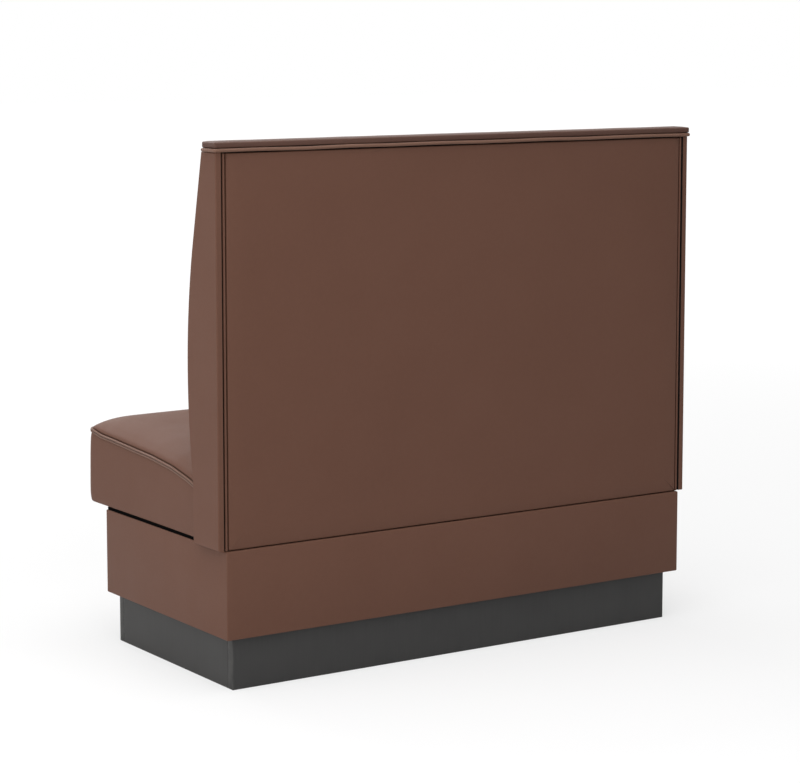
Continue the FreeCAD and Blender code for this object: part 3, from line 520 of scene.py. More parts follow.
def fleck_group():
    """An even fine texture, such as that of felt, foam, rubber or plated steel."""
    wires, given, place = new_group("Fine fleck", (
        ("Dark Colour", "Color", (0.1, 0.1, 0.1, 1)),
        ("Light Colour", "Color", (0.2, 0.2, 0.2, 1)),
        ("Fleck Scale", "Float", 900.0),
        ("Least Roughness", "Float", 0.5),
        ("Most Roughness", "Float", 0.7),
    ))
    fleck = wires.noise(place, given["Fleck Scale"], 3.0, 0.6)
    gloss = wires.span(fleck, 0.2, 0.8, given["Least Roughness"], given["Most Roughness"])
    shade = wires.mix(wires.span(fleck, 0.3, 0.7), given["Dark Colour"], given["Light Colour"])
    close_group(wires, shade, gloss, fleck)


def new_material(name):
    """A material, its wires and the sockets of its shader."""
    material = bpy.data.materials.new(name)
    material.use_nodes = True
    tree = material.node_tree
    return material, Wires(tree), tree.nodes["Principled BSDF"].inputs


def surface(wires, shader, shade, gloss, height, bump, strength, specular):
    """Joins a finish's colour, roughness and height to the shader."""
    relief = wires.node("ShaderNodeBump", {"Strength": strength, "Distance": bump, "Height": height})
    for name, value in (
        ("Base Color", shade), ("Roughness", gloss), ("Normal", relief.outputs["Normal"]),
        ("Specular IOR Level", specular),
    ):
        wires.feed(shader[name], value)


def group_material(name, group, given, bump, strength, specular=0.5, metallic=0.0):
    """A material whose colour, roughness and height come from one of the groups."""
    material, wires, shader = new_material(name)
    effect = wires.node("ShaderNodeGroup", node_tree=bpy.data.node_groups[group])
    for key, value in given.items():
        effect.inputs[key].default_value = (*value, 1) if key.endswith("Colour") else value
    made = effect.outputs
    surface(wires, shader, made["Colour"], made["Roughness"], made["Height"], bump, strength, specular)
    shader["Metallic"].default_value = metallic
    return material


def vinyl_material(name, base, raised, grain=780.0, roughness=0.66):
    return group_material(name, "Upholstery vinyl", {
        "Colour": base,
        "Raised Colour": raised,
        "Grain Scale": grain,
        "Roughness": roughness,
    }, bump=0.0001, strength=0.55, specular=0.25)


def timber_material(name, light, dark, stretch, contrast=0.6):
    return group_material(name, "Timber grain", {
        "Light Colour": light,
        "Dark Colour": dark,
        "Stretch": stretch,
        "Contrast": contrast,
    }, bump=0.0002, strength=0.5)


def fleck_material(name, base, scale, contrast, roughness, bump, metallic=0.0, specular=0.5):
    return group_material(name, "Fine fleck", {
        "Dark Colour": [c * (1 - contrast) for c in base],
        "Light Colour": [min(1.0, c * (1 + contrast)) for c in base],
        "Fleck Scale": scale,
        "Least Roughness": roughness - 0.08,
        "Most Roughness": roughness + 0.08,
    }, bump, 0.5, specular, metallic)


def paint_material(name, base, worn):
    """Black paint rolled over plywood: fine upright grain, faint clouds, edges rubbed lighter."""
    material, wires, shader = new_material(name)
    place = wires.place()
    grain = wires.noise(wires.stretched(place, (260.0, 260.0, 9.0)), 1.0, 3.0, 0.6)
    cloud = wires.noise(place, 13.0, 3.0, 0.5)
    tone = wires.blend((wires.span(grain, 0.3, 0.7), 0.55), (wires.span(cloud, 0.3, 0.7), 0.45))
    plain = wires.mix(tone, [c * 0.86 for c in base], [c * 1.16 for c in base])
    pointed = wires.node("ShaderNodeNewGeometry").outputs["Pointiness"]
    scuff = wires.span(wires.noise(place, 38.0, 4.0), 0.42, 0.62)
    rubbed = wires.maths("MULTIPLY", wires.span(pointed, 0.505, 0.56), scuff)
    gloss = wires.span(grain, 0.25, 0.75, 0.50, 0.62)
    shade = wires.mix(rubbed, plain, worn)
    surface(wires, shader, shade, gloss, grain, bump=0.00012, strength=0.35, specular=0.25)
    return material


def make_materials():
    """Every finish of the booth, by the name that its pieces ask for."""
    tint = colours()
    for make_group in (vinyl_group, timber_group, fleck_group):
        make_group()
    return {
        "vinyl": vinyl_material("Brown vinyl", tint.vinyl, tint.vinyl_mottle_highlight),
        # Darker copy of the brown vinyl: painted shade on the cap
        "cap": vinyl_material("Cap vinyl", tint.cap, tint.vinyl, roughness=0.52),
        "welt": vinyl_material("Welt vinyl", tint.welt, tint.welt_mottle_highlight, 1100.0, 0.50),
        "thread": fleck_material("Thread", tint.thread, 3000.0, 0.3, 0.6, 0.0001),
        "paint": paint_material("Black paint", tint.paint, tint.paint_worn),
        "birch": timber_material("Birch plywood", tint.birch, tint.birch_dark, (1.2, 12.0, 40.0)),
        "pine": timber_material("Pine", tint.pine, tint.pine_dark, (1.0, 16.0, 16.0), 0.8),
        # Black rubber, darkened past real rubber as painted shade in the gap under the seat
        "rubber": fleck_material("Black rubber", tint.rubber, 900.0, 0.3, 0.9, 0.0001, specular=0.02),
        "steel": fleck_material("Zinc plate", tint.steel, 120.0, 0.12, 0.34, 0.00005, 1.0),
        "felt": fleck_material("Felt", tint.felt, 700.0, 0.35, 0.95, 0.0006),
        "foam": fleck_material("Foam", tint.foam, 1200.0, 0.15, 0.9, 0.0005),
        # Also the painted shade sheets in the back's grooves
        "cambric": fleck_material("Black lining cloth", tint.cambric, 1500.0, 0.4, 0.9, 0.0002, specular=0.1),
    }


def finish(name):
    """The named material, made with its fellows the first time it is asked for."""
    made = bpy.context.scene.get("booth_finishes")
    if made is None:
        made = {key: material.name for key, material in make_materials().items()}
        bpy.context.scene["booth_finishes"] = made
    return bpy.data.materials[made[name]]


# Vinyl over boards

def rounded_box(low, high, axis, corner, rim, pitch=None):
    """A closed box whose edges along an axis are rounded more than its rims."""
    bm = box_mesh(low, high)
    bevel(bm, [e for e in bm.edges if along(e, axis)], corner, 4)
    rims = [e for e in bm.edges if e.calc_face_angle(0) > FOLD_ANGLE and not along(e, axis)]
    bevel(bm, rims, rim, 3)
    if pitch:
        for across in (0, 1, 2):
            quilt(bm, across, pitch)
    return bm


def rounded_loop(size, middle, corner, segments):
    """Corners of a flat rounded rectangle, in order."""
    bm = bmesh.new()
    bmesh.ops.create_grid(bm, x_segments=1, y_segments=1, size=0.5)
    bmesh.ops.scale(bm, vec=(*size, 1), verts=bm.verts)
    bmesh.ops.translate(bm, vec=middle, verts=bm.verts)
    bmesh.ops.bevel(
        bm, geom=bm.verts[:], offset=corner, affect="VERTICES", segments=segments, profile=0.5, material=-1)
    walk = [loop.vert.co.copy() for loop in bm.faces[:][0].loops]
    bm.free()
    return walk


def hollow(piece, low, high):
    """Cuts a box out of a piece."""
    tool = put("hollow", mesh_of(box_mesh(low, high), "hollow"))
    cut = piece.modifiers.new("Hollow", "BOOLEAN")
    cut.operation = "DIFFERENCE"
    cut.solver = "EXACT"
    cut.object = tool
    made = bpy.data.meshes.new_from_object(evaluated(piece))
    piece.modifiers.remove(cut)
    bpy.data.objects.remove(tool)
    made.name = piece.data.name
    piece.data = made


def ripple(bm, axis, height, waves, keep):
    """Lets stretched vinyl wander a little along an axis, by the share that keep gives each place."""
    for v in bm.verts:
        v.co[axis] += height * keep(v.co) * noise.noise(v.co * waves)


# Cushions

def inflate(piece, held):
    """Swells a closed cover as cloth under air, held along its seams, and returns its new places."""
    pins = piece.vertex_groups.new(name="Seams")
    pins.add(sorted(held), 1.0, "REPLACE")
    cloth = piece.modifiers.new("Cloth", "CLOTH")
    settings = cloth.settings
    settings.quality = 6
    settings.mass = 0.3
    settings.tension_stiffness = settings.compression_stiffness = 18
    settings.shear_stiffness = 6
    settings.bending_stiffness = 2
    settings.tension_damping = settings.compression_damping = 15
    settings.use_pressure = True
    settings.uniform_pressure_force = CLOTH_PRESSURE
    settings.vertex_group_mass = "Seams"
    settings.effector_weights.gravity = 0
    cloth.collision_settings.use_collision = False
    cloth.point_cache.frame_start = 1
    cloth.point_cache.frame_end = CLOTH_FRAMES
    scene = bpy.context.scene
    for step in range(1, CLOTH_FRAMES + 1):
        scene.frame_set(step)
    swollen = [v.co.copy() for v in evaluated(piece).data.vertices]
    piece.modifiers.remove(cloth)
    scene.frame_set(1)
    return swollen


def evened(mesh, moves, held):
    """Each move drawn halfway to the mean of its neighbours'; held points stay."""
    sums = [0.0] * len(moves)
    counts = [0] * len(moves)
    for edge in mesh.edges:
        first, second = edge.vertices
        sums[first] += moves[second]
        sums[second] += moves[first]
        counts[first] += 1
        counts[second] += 1
    return [
        0.0 if index in held else (move + sums[index] / max(counts[index], 1)) / 2
        for index, move in enumerate(moves)]


def swell(mesh, held, limit):
    """Swells a mesh by cloth simulation, each point no further than its own limit."""
    trial = put("trial cover", mesh)
    swollen = inflate(trial, held)
    normals = [vertex.normal.copy() for vertex in mesh.vertices]
    moves = [
        min(max((target - vertex.co).dot(normal), 0.0), limit(vertex.co))
        for vertex, normal, target in zip(mesh.vertices, normals, swollen)]
    for _ in range(SWELL_EVENING):
        moves = evened(mesh, moves, held)
    for vertex, normal, move in zip(mesh.vertices, normals, moves):
        vertex.co += normal * move
    trial.vertex_groups.clear()
    bpy.data.objects.remove(trial)


def seat_edge_height(y, table=EDGE_HEIGHT_SHARES):
    """Height of the seat's welt at a place front to back."""
    low, high = corners("seat_cover")
    place = (y - low.y) / (high.y - low.y)
    return low.z + sizes().seat_edge * run(table, place)


class SeatPlan:
    """The seat's outline from above, with rounded corners."""

    def __init__(self):
        low, high = corners("seat_cover")
        self.half = corners("seat_front_rail")[1].x + SEAT_SIDE
        self.front, self.back, self.foot = low.y, high.y, low.z
        self.corner = sizes().seat_corner

    def from_rim(self, place):
        """Distance of a place from the nearest of the four straight sides."""
        return min(self.half - abs(place[0]), place[1] - self.front, self.back - place[1])

    def split(self, x, y):
        """Nearest place on the inner rectangle, outward direction, and distance inside the outline."""
        inner_x = min(max(x, self.corner - self.half), self.half - self.corner)
        inner_y = min(max(y, self.front + self.corner), self.back - self.corner)
        spoke = Vector((x - inner_x, y - inner_y))
        reach = max(abs(spoke.x), abs(spoke.y))
        return Vector((inner_x, inner_y)), spoke, self.corner - reach

    def place(self, x, y, inside):
        """Where the seat has the mesh's point (x, y) that lies so far inside its outline."""
        centre, spoke, _ = self.split(x, y)
        if spoke.length < 1e-9:
            return Vector((x, y))
        bow = math.sin(math.pi * (y - self.front) / (self.back - self.front))
        if abs(spoke.y) > abs(spoke.x):
            bow = math.cos(math.pi * x / (2 * self.half))
        pull = sizes().seat_draw_in * max(0.0, bow)
        return centre + spoke.normalized() * (self.corner - inside - pull * (1 - inside / self.corner))

    def outline(self):
        """Even places round the outline, at the welt's height."""
        walk = rounded_loop(
            (2 * self.half, self.back - self.front), (0, (self.front + self.back) / 2, 0), self.corner, 10)
        places = []
        left_over = 0.0
        for start, stop in zip(walk, walk[1:] + walk[:1]):
            span = (stop - start).length
            at = left_over
            while at < span:
                places.append(start.lerp(stop, at / span))
                at += WELT_STEP
            left_over = at - span
        moved = []
        for place in places:
            centre, spoke, _ = self.split(place.x, place.y)
            pull = self.corner - (self.place(place.x, place.y, 0) - centre).length
            spot = place.xy - spoke.normalized() * min(pull, sizes().seat_draw_in)
            moved.append(Vector((spot.x, spot.y, seat_edge_height(spot.y))))
        return moved


def seat_mesh():
    """The cushion before it swells: rounded plan, crowned top, tucked seams, full sides."""
    size = sizes()
    plan = SeatPlan()
    foot, tall = size.seat_foot, size.seat_edge
    bm = box_mesh((-plan.half, plan.front, 0), (plan.half, plan.back, tall))
    roll = [row[0] for row in SEAM_ROLL[1:]]
    ring = (*SEAT_RIM_CUTS, foot, *roll, SEAT_TOP_CUT, plan.corner * 0.8, plan.corner)
    slice_at(bm, 0, [s * (plan.half - r) for r in ring for s in (-1, 1)])
    slice_at(bm, 1, from_ends(plan.front, plan.back, ring))
    slice_at(bm, 2, [*SEAT_RIM_CUTS, foot, SEAT_SIDE_CUT, *(tall - drop for drop in SEAT_SEAM_CUTS)])
    for axis in (0, 1, 2):
        quilt(bm, axis, size.quilt_pitch)
    for v in bm.verts:
        shape = seat_top_place if v.co.z > tall - TINY else seat_side_place
        v.co = shape(plan, size, *v.co)
    return bm, plan


def seat_top_place(plan, size, x, y, _):
    """Where a point of the mesh's top lies on the crowned seat."""
    shoulder = size.seat_shoulder
    _, spoke, inside = plan.split(x, y)
    deep = inside if spoke.length > 0 else plan.corner
    near = plan.from_rim((x, y))
    rise = SEAT_DOME * dome((plan.half - abs(x)) / shoulder) + (1 - SEAT_DOME) * (1 - (x / plan.half) ** 2)
    rise *= dome((y - plan.front) / (shoulder * FRONT_SHOULDER)) * dome((plan.back - y) / shoulder)
    rise *= size.seat_crown
    if near < SEAM_ROLL[-1][0]:
        least = max(size.seat_crown * dome(near / shoulder), 1e-5)
        rise = run([(row[0], row[2]) for row in SEAM_ROLL], near) * min(1.0, rise / least)
        deep = run([(row[0], row[1]) for row in SEAM_ROLL], near)
    spot = plan.place(x, y, deep)
    edge = seat_edge_height(y)
    inner = share((near - TOP_START) / TOP_BLEND)
    edge += (seat_edge_height(y, TOP_HEIGHT_SHARES) - edge) * inner ** 2 * (3 - 2 * inner)
    return spot.x, spot.y, edge + rise


def seat_side_place(plan, size, x, y, h):
    """Where a point of the mesh's side or underside lies on the seat."""
    foot, tall = size.seat_foot, size.seat_edge
    _, spoke, inside = plan.split(x, y)
    at_rim = spoke.length > 0
    deep = inside if at_rim else plan.corner
    if at_rim and inside < foot and h < foot:
        across, up = foot - inside, foot - h
        fit = max(across, up) / math.hypot(across, up)
        deep, h = foot - across * fit, foot - up * fit
    if inside < TINY:
        deep += size.seat_tuck * math.exp(-((tall - h) / SEAM_BAND) ** 2)
    spot = plan.place(x, y, deep)
    if at_rim:
        room = 1 - BELLY_REAR * share((y - plan.front) / (BELLY_DEPTH * (plan.back - plan.front)))
        fade = (1 - math.exp(-(tall - h) / BELLY_TOP)) * (1 - math.exp(-h / BELLY_FOOT))
        belly = size.seat_belly * (1 - BELLY_LEAN * h / tall) * fade
        spot += spoke.normalized() * belly * room * (1 - share(inside / plan.corner))
    z = plan.foot + h * (seat_edge_height(y) - plan.foot) / tall
    if h < TINY and deep >= size.seat_return:
        z += size.vinyl * 0.8
    return spot.x, spot.y, z


def tube_along(places, radius, name, sides):
    """A mesh tube round a closed line of places."""
    curve = bpy.data.curves.new(name, "CURVE")
    curve.dimensions = "3D"
    curve.bevel_depth = radius
    curve.bevel_resolution = max(0, sides // 2 - 2)
    spline = curve.splines.new("POLY")
    spline.points.add(len(places) - 1)
    for point, place in zip(spline.points, places):
        point.co = (*place, 1)
    spline.use_cyclic_u = True
    holder = put(name, curve)
    bpy.context.view_layer.update()
    mesh = bpy.data.meshes.new_from_object(evaluated(holder))
    bpy.data.objects.remove(holder)
    bpy.data.curves.remove(curve)
    return mesh


def stitch_row(places, size, lift):
    """Short stitches laid end to end along a closed line of places."""
    bm = bmesh.new()
    radius = size.thread
    walk = list(zip(places, places[1:] + places[:1]))
    total = sum((stop - start).length for start, stop in walk)
    count = int(total / size.stitch_pitch)
    index, passed = 0, 0.0
    for number in range(count):
        target = (number + 0.5) * total / count
        while passed + (walk[index][1] - walk[index][0]).length < target:
            passed += (walk[index][1] - walk[index][0]).length
            index += 1
        start, stop = walk[index]
        heading = (stop - start).normalized()
        middle = start.lerp(stop, (target - passed) / (stop - start).length)
        turn = heading.to_track_quat("Z", "Y").to_matrix().to_4x4()
        bmesh.ops.create_cone(
            bm, cap_ends=True, segments=6, radius1=radius, radius2=radius, depth=size.stitch,
            matrix=Matrix.Translation(middle + lift(middle)) @ turn)
    caps = [e for e in bm.edges if any(len(f.verts) == 6 for f in e.link_faces)]
    bevel(bm, caps, radius * 0.6, 1)
    return bm


class BOOTH_OT_seat(bpy.types.Operator):
    """Makes the seat cushion with its double welt, stitches and dust cover"""

    bl_idname = "booth.seat"
    bl_label = "Seat cushion"

    def execute(self, context):
        size = sizes()
        bm, plan = seat_mesh()
        held = set()
        for v in bm.verts:
            seam = abs(v.co.z - seat_edge_height(v.co.y))
            at_seam = seam < SEAM_REACH and plan.from_rim(v.co) < SEAM_REACH
            if at_seam or v.co.z < plan.foot + size.seat_foot or v.co.y > plan.back - HELD_REAR:
                held.add(v.index)

        def limit(place):
            up = share((place.z - seat_edge_height(place.y) - SWELL_START) / SWELL_RISE)
            inner = share(plan.from_rim(place) / SWELL_INSET)
            return size.side_swell + (size.top_swell - size.side_swell) * up * inner

        mesh = mesh_of(bm, "seat cushion")
        swell(mesh, held, limit)
        replaced = ("seat_cover", "seat_foam")
        cushion = dress_mesh(mesh, "seat_cushion", "seat", "brown_vinyl", replaced, levels=1)
        self.welt(plan, size)
        paint_node("seat_dust_cover", "cambric")
        return {"FINISHED"}

    def welt(self, plan, size):
        """Two cords, one on the other, with a row of stitches between them."""
        seam = plan.outline()
        bm = bmesh.new()
        for offset in (-CORD_SPREAD, CORD_SPREAD):
            line = [place + Vector((0, 0, offset * size.cord)) for place in seam]
            add_mesh(bm, tube_along(line, size.cord, "welt cord", 10))
        finish_piece(bm, "seat_double_welt", "seat", "welt_vinyl", ("seat_welt",))

        def outwards(place):
            return plan.split(place.x, place.y)[1].normalized().to_3d() * size.cord * STITCH_OUT

        row = stitch_row(seam, size, outwards)
        finish_piece(row, "seat_stitches", "seat", "welt_vinyl", look="thread", smooth=False)


FRONT_EDGE = []


def end_front_at(height):
    """Front edge of the end panels at a height, read once from the panel itself."""
    if not FRONT_EDGE:
        low = corners("end_vinyl_left")[0]
        rims = {}
        for v in NODES["end_vinyl_left"].data.vertices:
            if v.co.y < low.y + 0.08:
                key = round(v.co.z, 3)
                rims[key] = min(rims.get(key, v.co.y), v.co.y)
        FRONT_EDGE.extend(sorted(rims.items()))
    return run(FRONT_EDGE, height)


def smooth_front_at(height):
    """The same edge, evened out over a hand's breadth."""
    reach = sizes().profile_reach
    return sum(end_front_at(height + reach * step / 4) for step in range(-4, 5)) / 9


def lining_at(height):
    """Front face of the leaning board behind the back cushion."""
    low, high = corners("inside_back_board")
    return low.y + (high.y - LEANING_BOARD - low.y) * (height - low.z) / (high.z - low.z)


def back_mesh():
    """The back cushion before it swells, and its points that are held."""
    size = sizes()
    low, high = corners("inside_back_cover")
    half = corners("inside_back_board")[1].x - PANEL_GAP
    bm = box_mesh((-half, 0, low.z), (half, 1, high.z))
    slice_at(bm, 0, [s * (half - r) for r in BACK_CUTS for s in (-1, 1)])
    slice_at(bm, 1, BACK_DEPTH_CUTS)
    slice_at(bm, 2, from_ends(low.z, high.z, BACK_CUTS))
    for axis in (0, 2):
        quilt(bm, axis, size.quilt_pitch * 1.1)
    tall = high.z - low.z
    held = set()
    bm.verts.index_update()
    for v in bm.verts:
        x, depth, z = v.co
        rear = lining_at(z)
        up = z - low.z
        front = rear - (rear - smooth_front_at(z)) * (BACK_FOOT + (1 - BACK_FOOT) * dome(up / size.back_roll))
        place = up / tall
        swelling = SWELL_LEAST + (SWELL_BELOW + SWELL_MIDDLE * dome(place * 2)) * dome((1 - place) * 3)
        to_side = half - abs(x)
        across = BACK_DOME * dome(to_side / size.back_shoulder) + (1 - BACK_DOME) * (1 - (x / half) ** 2)
        crown = size.back_crown * swelling * across * dome(up / size.back_roll)
        v.co.y = rear + (front - crown - rear) * (1 - depth)
        if depth > 0.02 or to_side < HELD_RIM or up < HELD_RIM or tall - up < HELD_TOP:
            held.add(v.index)
    return bm, held, half


class BOOTH_OT_back_cushion(bpy.types.Operator):
    """Makes the padded inside back and the skirt of its cover"""

    bl_idname = "booth.back_cushion"
    bl_label = "Back cushion"

    def execute(self, context):
        size = sizes()
        bm, held, half = back_mesh()
        mesh = mesh_of(bm, "back cushion")
        swell(mesh, held, lambda place: size.top_swell)
        replaced = ("inside_back_cover", "inside_back_foam")
        cushion = dress_mesh(mesh, "back_cushion", "root", "brown_vinyl", replaced, levels=1)
        foot = corners("back_bottom_rail")[0]
        top = corners("back_tuck_rail")[0].z - size.skirt_gap
        rear = foot.y - size.skirt_gap
        bm = box_mesh((-half, rear - size.vinyl, foot.z + size.skirt_hem), (half, rear, top))
        finish_piece(bm, "back_cover_skirt", "root", "brown_vinyl", smooth=False)
        return {"FINISHED"}


class BOOTH_OT_base(bpy.types.Operator):
    """Wraps the base box in vinyl, turned over its rims"""

    bl_idname = "booth.base"
    bl_label = "Base"

    def execute(self, context):
        size = sizes()
        low, high = corners("base_vinyl_wrap")
        bm = rounded_box(low, high, 2, size.base_edge, size.base_rim)
        piece = finish_piece(bm, "base_vinyl", "root", "brown_vinyl", ("base_vinyl_wrap",))
        wall = Vector((size.vinyl, size.vinyl, size.vinyl))
        hollow(piece, low + wall, high - wall)
        floor_low, floor_high = corners("base_bottom_board")
        hollow(piece, (*floor_low.xy, low.z - 0.01), (*floor_high.xy, high.z + 0.01))
        return {"FINISHED"}


class BOOTH_OT_toe_kick(bpy.types.Operator):
    """Makes the painted toe kick boards"""

    bl_idname = "booth.toe_kick"
    bl_label = "Toe kick"

    def execute(self, context):
        for side in ("front", "back", "left", "right"):
            low, high = corners(f"kick_{side}_board")
            bm = box_mesh(low, high)
            bevel(bm, bm.edges[:], sizes().board_edge, 2)
            for axis in (0 if side in ("front", "back") else 1, 2):
                slice_at(bm, axis, from_ends(low[axis], high[axis], KICK_CUTS))
            finish_piece(bm, f"kick_{side}_painted", "root", "kick_paint", (f"kick_{side}_board",))
        return {"FINISHED"}


class BOOTH_OT_outside_back(bpy.types.Operator):
    """Makes the flat vinyl panel of the outside back, and dresses the piping beside it"""

    bl_idname = "booth.outside_back"
    bl_label = "Outside back"

    def execute(self, context):
        size = sizes()
        low, high = corners("outside_back_vinyl")
        bm = rounded_box(low, high, 1, size.rim_edge, size.base_edge * 0.8, size.panel_pitch)

        def keep(place):
            inside = min(place.x - low.x, high.x - place.x, place.z - low.z, high.z - place.z)
            return share((inside - 0.004) / 0.05) * (place.y > high.y - 0.0005)

        ripple(bm, 1, size.panel_wave, PANEL_WAVES, keep)
        finish_piece(bm, "outside_back_panel", "root", "brown_vinyl", ("outside_back_vinyl",))
        for side in ("left", "right"):
            paint_node(f"outside_piping_{side}", "vinyl")
        # Black sheets in the grooves, as painted shade
        self.shade_grooves(low, high, size.lining)
        return {"FINISHED"}

    def shade_grooves(self, low, high, thick):
        """Black cloth sheets as painted shade over the frame behind the grooves, and round the flange of the
        cap's welt.
        """
        end_low, end_high = corners("end_vinyl_left")
        inner, top = end_low.x, end_high.z
        rear = low.y + thick
        foot = corners("base_vinyl_wrap")[1].z + SHADE_SHEET_LIFT
        flange = Vector((0.9 * sizes().cap_cord, 0.9 * sizes().cap_cord, thick))
        welt_low, welt_high = corners("cap_welt")
        boxes = [
            ((-inner, low.y, high.z - SHADE_SHEET_LAP), (inner, rear, top)),
            ((-inner, low.y, foot), (inner, rear, end_low.z + SHADE_SHEET_LAP)),
            (welt_low + flange, welt_high - flange),
        ]
        for side in (-1, 1):
            left, right = sorted((side * (high.x - SHADE_SHEET_LAP), side * inner))
            boxes.append(((left, low.y, foot), (right, rear, top)))
            left, right = sorted((side * (inner - thick), side * (inner - SHADE_SHEET_SKIN)))
            boxes.append(((left, low.y, end_low.z), (right, end_high.y - HEM, top)))
        bm = bmesh.new()
        for start, stop in boxes:
            add_mesh(bm, mesh_of(box_mesh(start, stop), "lining"))
        finish_piece(bm, "groove_lining", "root", "cambric", smooth=False)


class BOOTH_OT_end_panels(bpy.types.Operator):
    """Dresses the end panels"""

    bl_idname = "booth.end_panels"
    bl_label = "End panels"

    def execute(self, context):
        for side in ("left", "right"):
            paint_node(f"end_vinyl_{side}", "vinyl")
        return {"FINISHED"}


class BOOTH_OT_cap(bpy.types.Operator):
    """Makes the cap's vinyl and the fat welt beneath it"""

    bl_idname = "booth.cap"
    bl_label = "Cap"

    def execute(self, context):
        size = sizes()
        low, high = corners("cap_vinyl")
        bm = rounded_box(low, high, 2, size.base_edge * 1.4, size.rim_edge * 1.8, size.cap_pitch)
        middle = (low + high) / 2
        ripple(bm, 1, size.cap_ripple, CAP_PUCKERS, lambda place: abs(place.y - middle.y) > 0.02)
        ripple(bm, 2, size.cap_ripple * 0.5, CAP_SWAYS, lambda place: 1.0)
        for v in bm.verts:
            inside = min(high.x - abs(v.co.x), v.co.y - low.y, high.y - v.co.y)
            rise = (v.co.z - low.z) / (high.z - low.z)
            v.co.z -= size.cap_crown * rise ** 2 * (1 - dome(inside / size.cap_shoulder))
            if v.co.y > high.y - 0.004:
                aside = (v.co.x - high.x + CREASE_PLACE) + CREASE_SLANT * (v.co.z - middle.z)
                v.co.y -= size.cap_crease * math.exp(-(aside / CREASE_WIDTH) ** 2)
        # The cap's vinyl is a darker copy of the brown vinyl, as painted shade
        finish_piece(bm, "cap_cover", "root", "brown_vinyl", ("cap_vinyl",), look="cap")
        low, high = corners("cap_board")
        bm = box_mesh(low, high - Vector((0, 0, size.cap_pad)))
        bevel(bm, bm.edges[:], size.rim_edge, 2)
        finish_piece(bm, "cap_plywood", "root", "plywood", ("cap_board",))
        self.welt(size)
        return {"FINISHED"}

    def welt(self, size):
        """The fat cord under the cap, which wanders a little."""
        low, high = corners("cap_welt")
        inset = 2 * size.cap_cord * 0.75
        walk = rounded_loop(
            (high.x - low.x - inset, high.y - low.y - inset), (low + high) / 2, CAP_WELT_CORNER, 4)
        places = []
        for start, stop in zip(walk, walk[1:] + walk[:1]):
            steps = max(1, round((stop - start).length / CAP_WELT_STEP))
            places += [start.lerp(stop, step / steps) for step in range(steps)]
        for place in places:
            place.z += size.cap_wave * (2 * noise.noise(place * WELT_WAVES) - 0.3)
        mesh = tube_along(places, size.cap_cord - size.cap_wave, "cap welt", 12)
        dress_mesh(mesh, "cap_cord_welt", "root", "welt_vinyl", ("cap_welt",))


class BOOTH_OT_inner_frame(bpy.types.Operator):
    """Gives the timber, steel, felt and rubber parts their finishes"""

    bl_idname = "booth.inner_frame"
    bl_label = "Inner frame"

    def execute(self, context):
        for part in frame["record"]["subparts"]:
            paint_node(part["node"], FINISHES[part["material_slot"]])
        return {"FINISHED"}


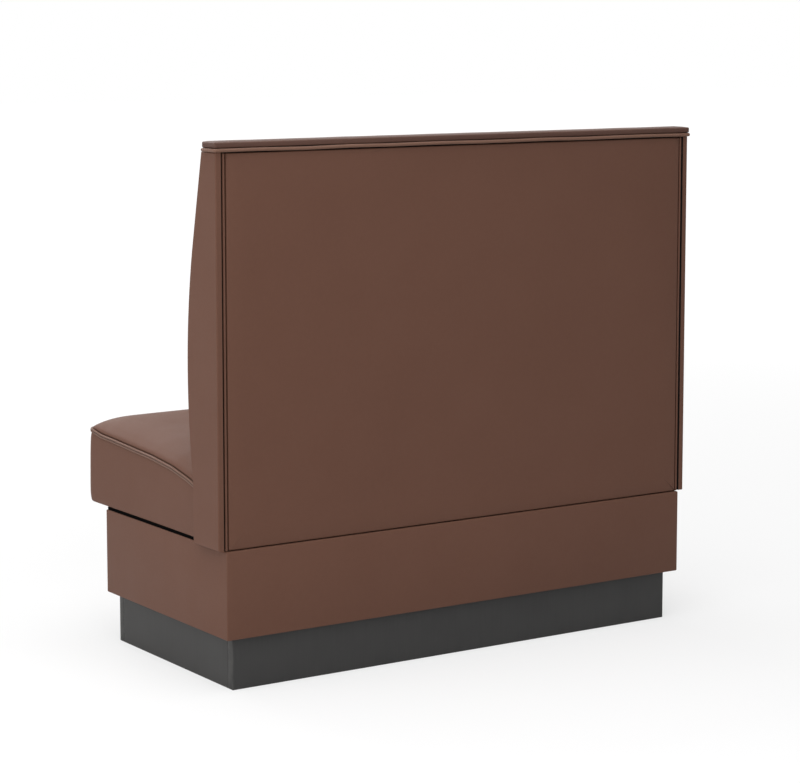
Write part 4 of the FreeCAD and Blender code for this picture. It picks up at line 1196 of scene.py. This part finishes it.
class BOOTH_OT_stage(bpy.types.Operator):
    """Lays the floor and sets the lamps, the world and the camera"""

    bl_idname = "booth.stage"
    bl_label = "Stage"

    def execute(self, context):
        look = context.scene.booth_look
        self.floor(colours())
        self.world(look)
        for name, *rest in LAMPS:
            self.lamp(name, getattr(look, name.lower()), *rest)
        view = bpy.data.cameras.new("Camera")
        view.lens = look.lens
        view.sensor_width = SENSOR
        view.shift_y = look.shift
        camera = put("Camera", view)
        camera.location = look.eye
        camera.rotation_euler = (math.pi / 2 + look.pitch, 0, look.heading)
        context.scene.camera = camera
        context.scene.view_settings.view_transform = "Standard"
        return {"FINISHED"}

    def floor(self, tint):
        """White floor that keeps the booth's shadow and fades into the backdrop."""
        bm = bmesh.new()
        bmesh.ops.create_grid(bm, x_segments=1, y_segments=1, size=FLOOR_SIZE)
        mesh = mesh_of(bm, "Floor")
        material, wires, shader = new_material("Floor")
        seen = wires.node("ShaderNodeLightPath").outputs["Is Camera Ray"]
        wires.feed(shader["Base Color"], wires.mix(seen, tint.floor, tint.floor_seen))
        shader["Roughness"].default_value = 0.9
        shader["Specular IOR Level"].default_value = 0.0
        away = wires.node("ShaderNodeVectorMath", {0: wires.place()}, operation="LENGTH").outputs["Value"]
        glow = wires.node("ShaderNodeEmission", {
            "Strength": wires.maths("MULTIPLY", seen, wires.span(away, 1.0, 6.0, 0.65, 0.97))})
        nodes = wires.tree.nodes
        both = wires.node("ShaderNodeAddShader", {0: nodes["Principled BSDF"].outputs[0], 1: glow.outputs[0]})
        wires.feed(nodes["Material Output"].inputs["Surface"], both.outputs[0])
        mesh.materials.append(material)
        put("Floor", mesh)

    def world(self, look):
        """White where the camera, a gloss or glass sees it, and dim as a light."""
        world = bpy.data.worlds.new("Studio")
        world.use_nodes = True
        bpy.context.scene.world = world
        wires = Wires(world.node_tree)
        path = wires.node("ShaderNodeLightPath").outputs
        seen = wires.maths("MAXIMUM", path["Is Camera Ray"], wires.maths(
            "MAXIMUM", path["Is Glossy Ray"], path["Is Transmission Ray"]))
        background = world.node_tree.nodes["Background"].inputs
        background["Color"].default_value = (1, 1, 1, 1)
        wires.feed(background["Strength"], wires.maths("MAXIMUM", seen, look.daylight))

    def lamp(self, name, energy, width, place, target, tint=(1.0, 1.0, 1.0)):
        """A square lamp that faces a target."""
        light = bpy.data.lights.new(name, "AREA")
        light.energy = energy
        light.color = tint
        light.shape = "SQUARE"
        light.size = width
        lamp = put(name, light)
        lamp.location = place
        lamp.rotation_euler = (Vector(target) - Vector(place)).to_track_quat("-Z", "Y").to_euler()


class BOOTH_PT_panel(bpy.types.Panel):
    """The booth's sizes, colours and pieces"""

    bl_label = "Booth"
    bl_idname = "BOOTH_PT_panel"
    bl_space_type = "VIEW_3D"
    bl_region_type = "UI"
    bl_category = "Booth"

    def draw(self, context):
        scene = context.scene
        groups = (("Sizes", scene.booth_sizes), ("Colours", scene.booth_colours), ("Look", scene.booth_look))
        for title, group in groups:
            box = self.layout.box()
            box.label(text=title)
            for name in group.__annotations__:
                box.prop(group, name)
        for operator in OPERATORS:
            self.layout.operator(operator.bl_idname)


GROUPS = (BoothSizes, BoothColours, BoothLook)
OPERATORS = (
    BOOTH_OT_stage, BOOTH_OT_inner_frame, BOOTH_OT_toe_kick, BOOTH_OT_base, BOOTH_OT_outside_back,
    BOOTH_OT_end_panels, BOOTH_OT_cap, BOOTH_OT_back_cushion, BOOTH_OT_seat,
)


def register():
    for item in (*GROUPS, *OPERATORS, BOOTH_PT_panel):
        bpy.utils.register_class(item)
    bpy.types.Scene.booth_sizes = bpy.props.PointerProperty(type=BoothSizes)
    bpy.types.Scene.booth_colours = bpy.props.PointerProperty(type=BoothColours)
    bpy.types.Scene.booth_look = bpy.props.PointerProperty(type=BoothLook)


def unregister():
    del bpy.types.Scene.booth_look
    del bpy.types.Scene.booth_colours
    del bpy.types.Scene.booth_sizes
    for item in reversed((*GROUPS, *OPERATORS, BOOTH_PT_panel)):
        bpy.utils.unregister_class(item)


def main():
    register()
    for operator in OPERATORS:
        group, name = operator.bl_idname.split(".")
        getattr(getattr(bpy.ops, group), name)()


if __name__ == "__main__":
    main()
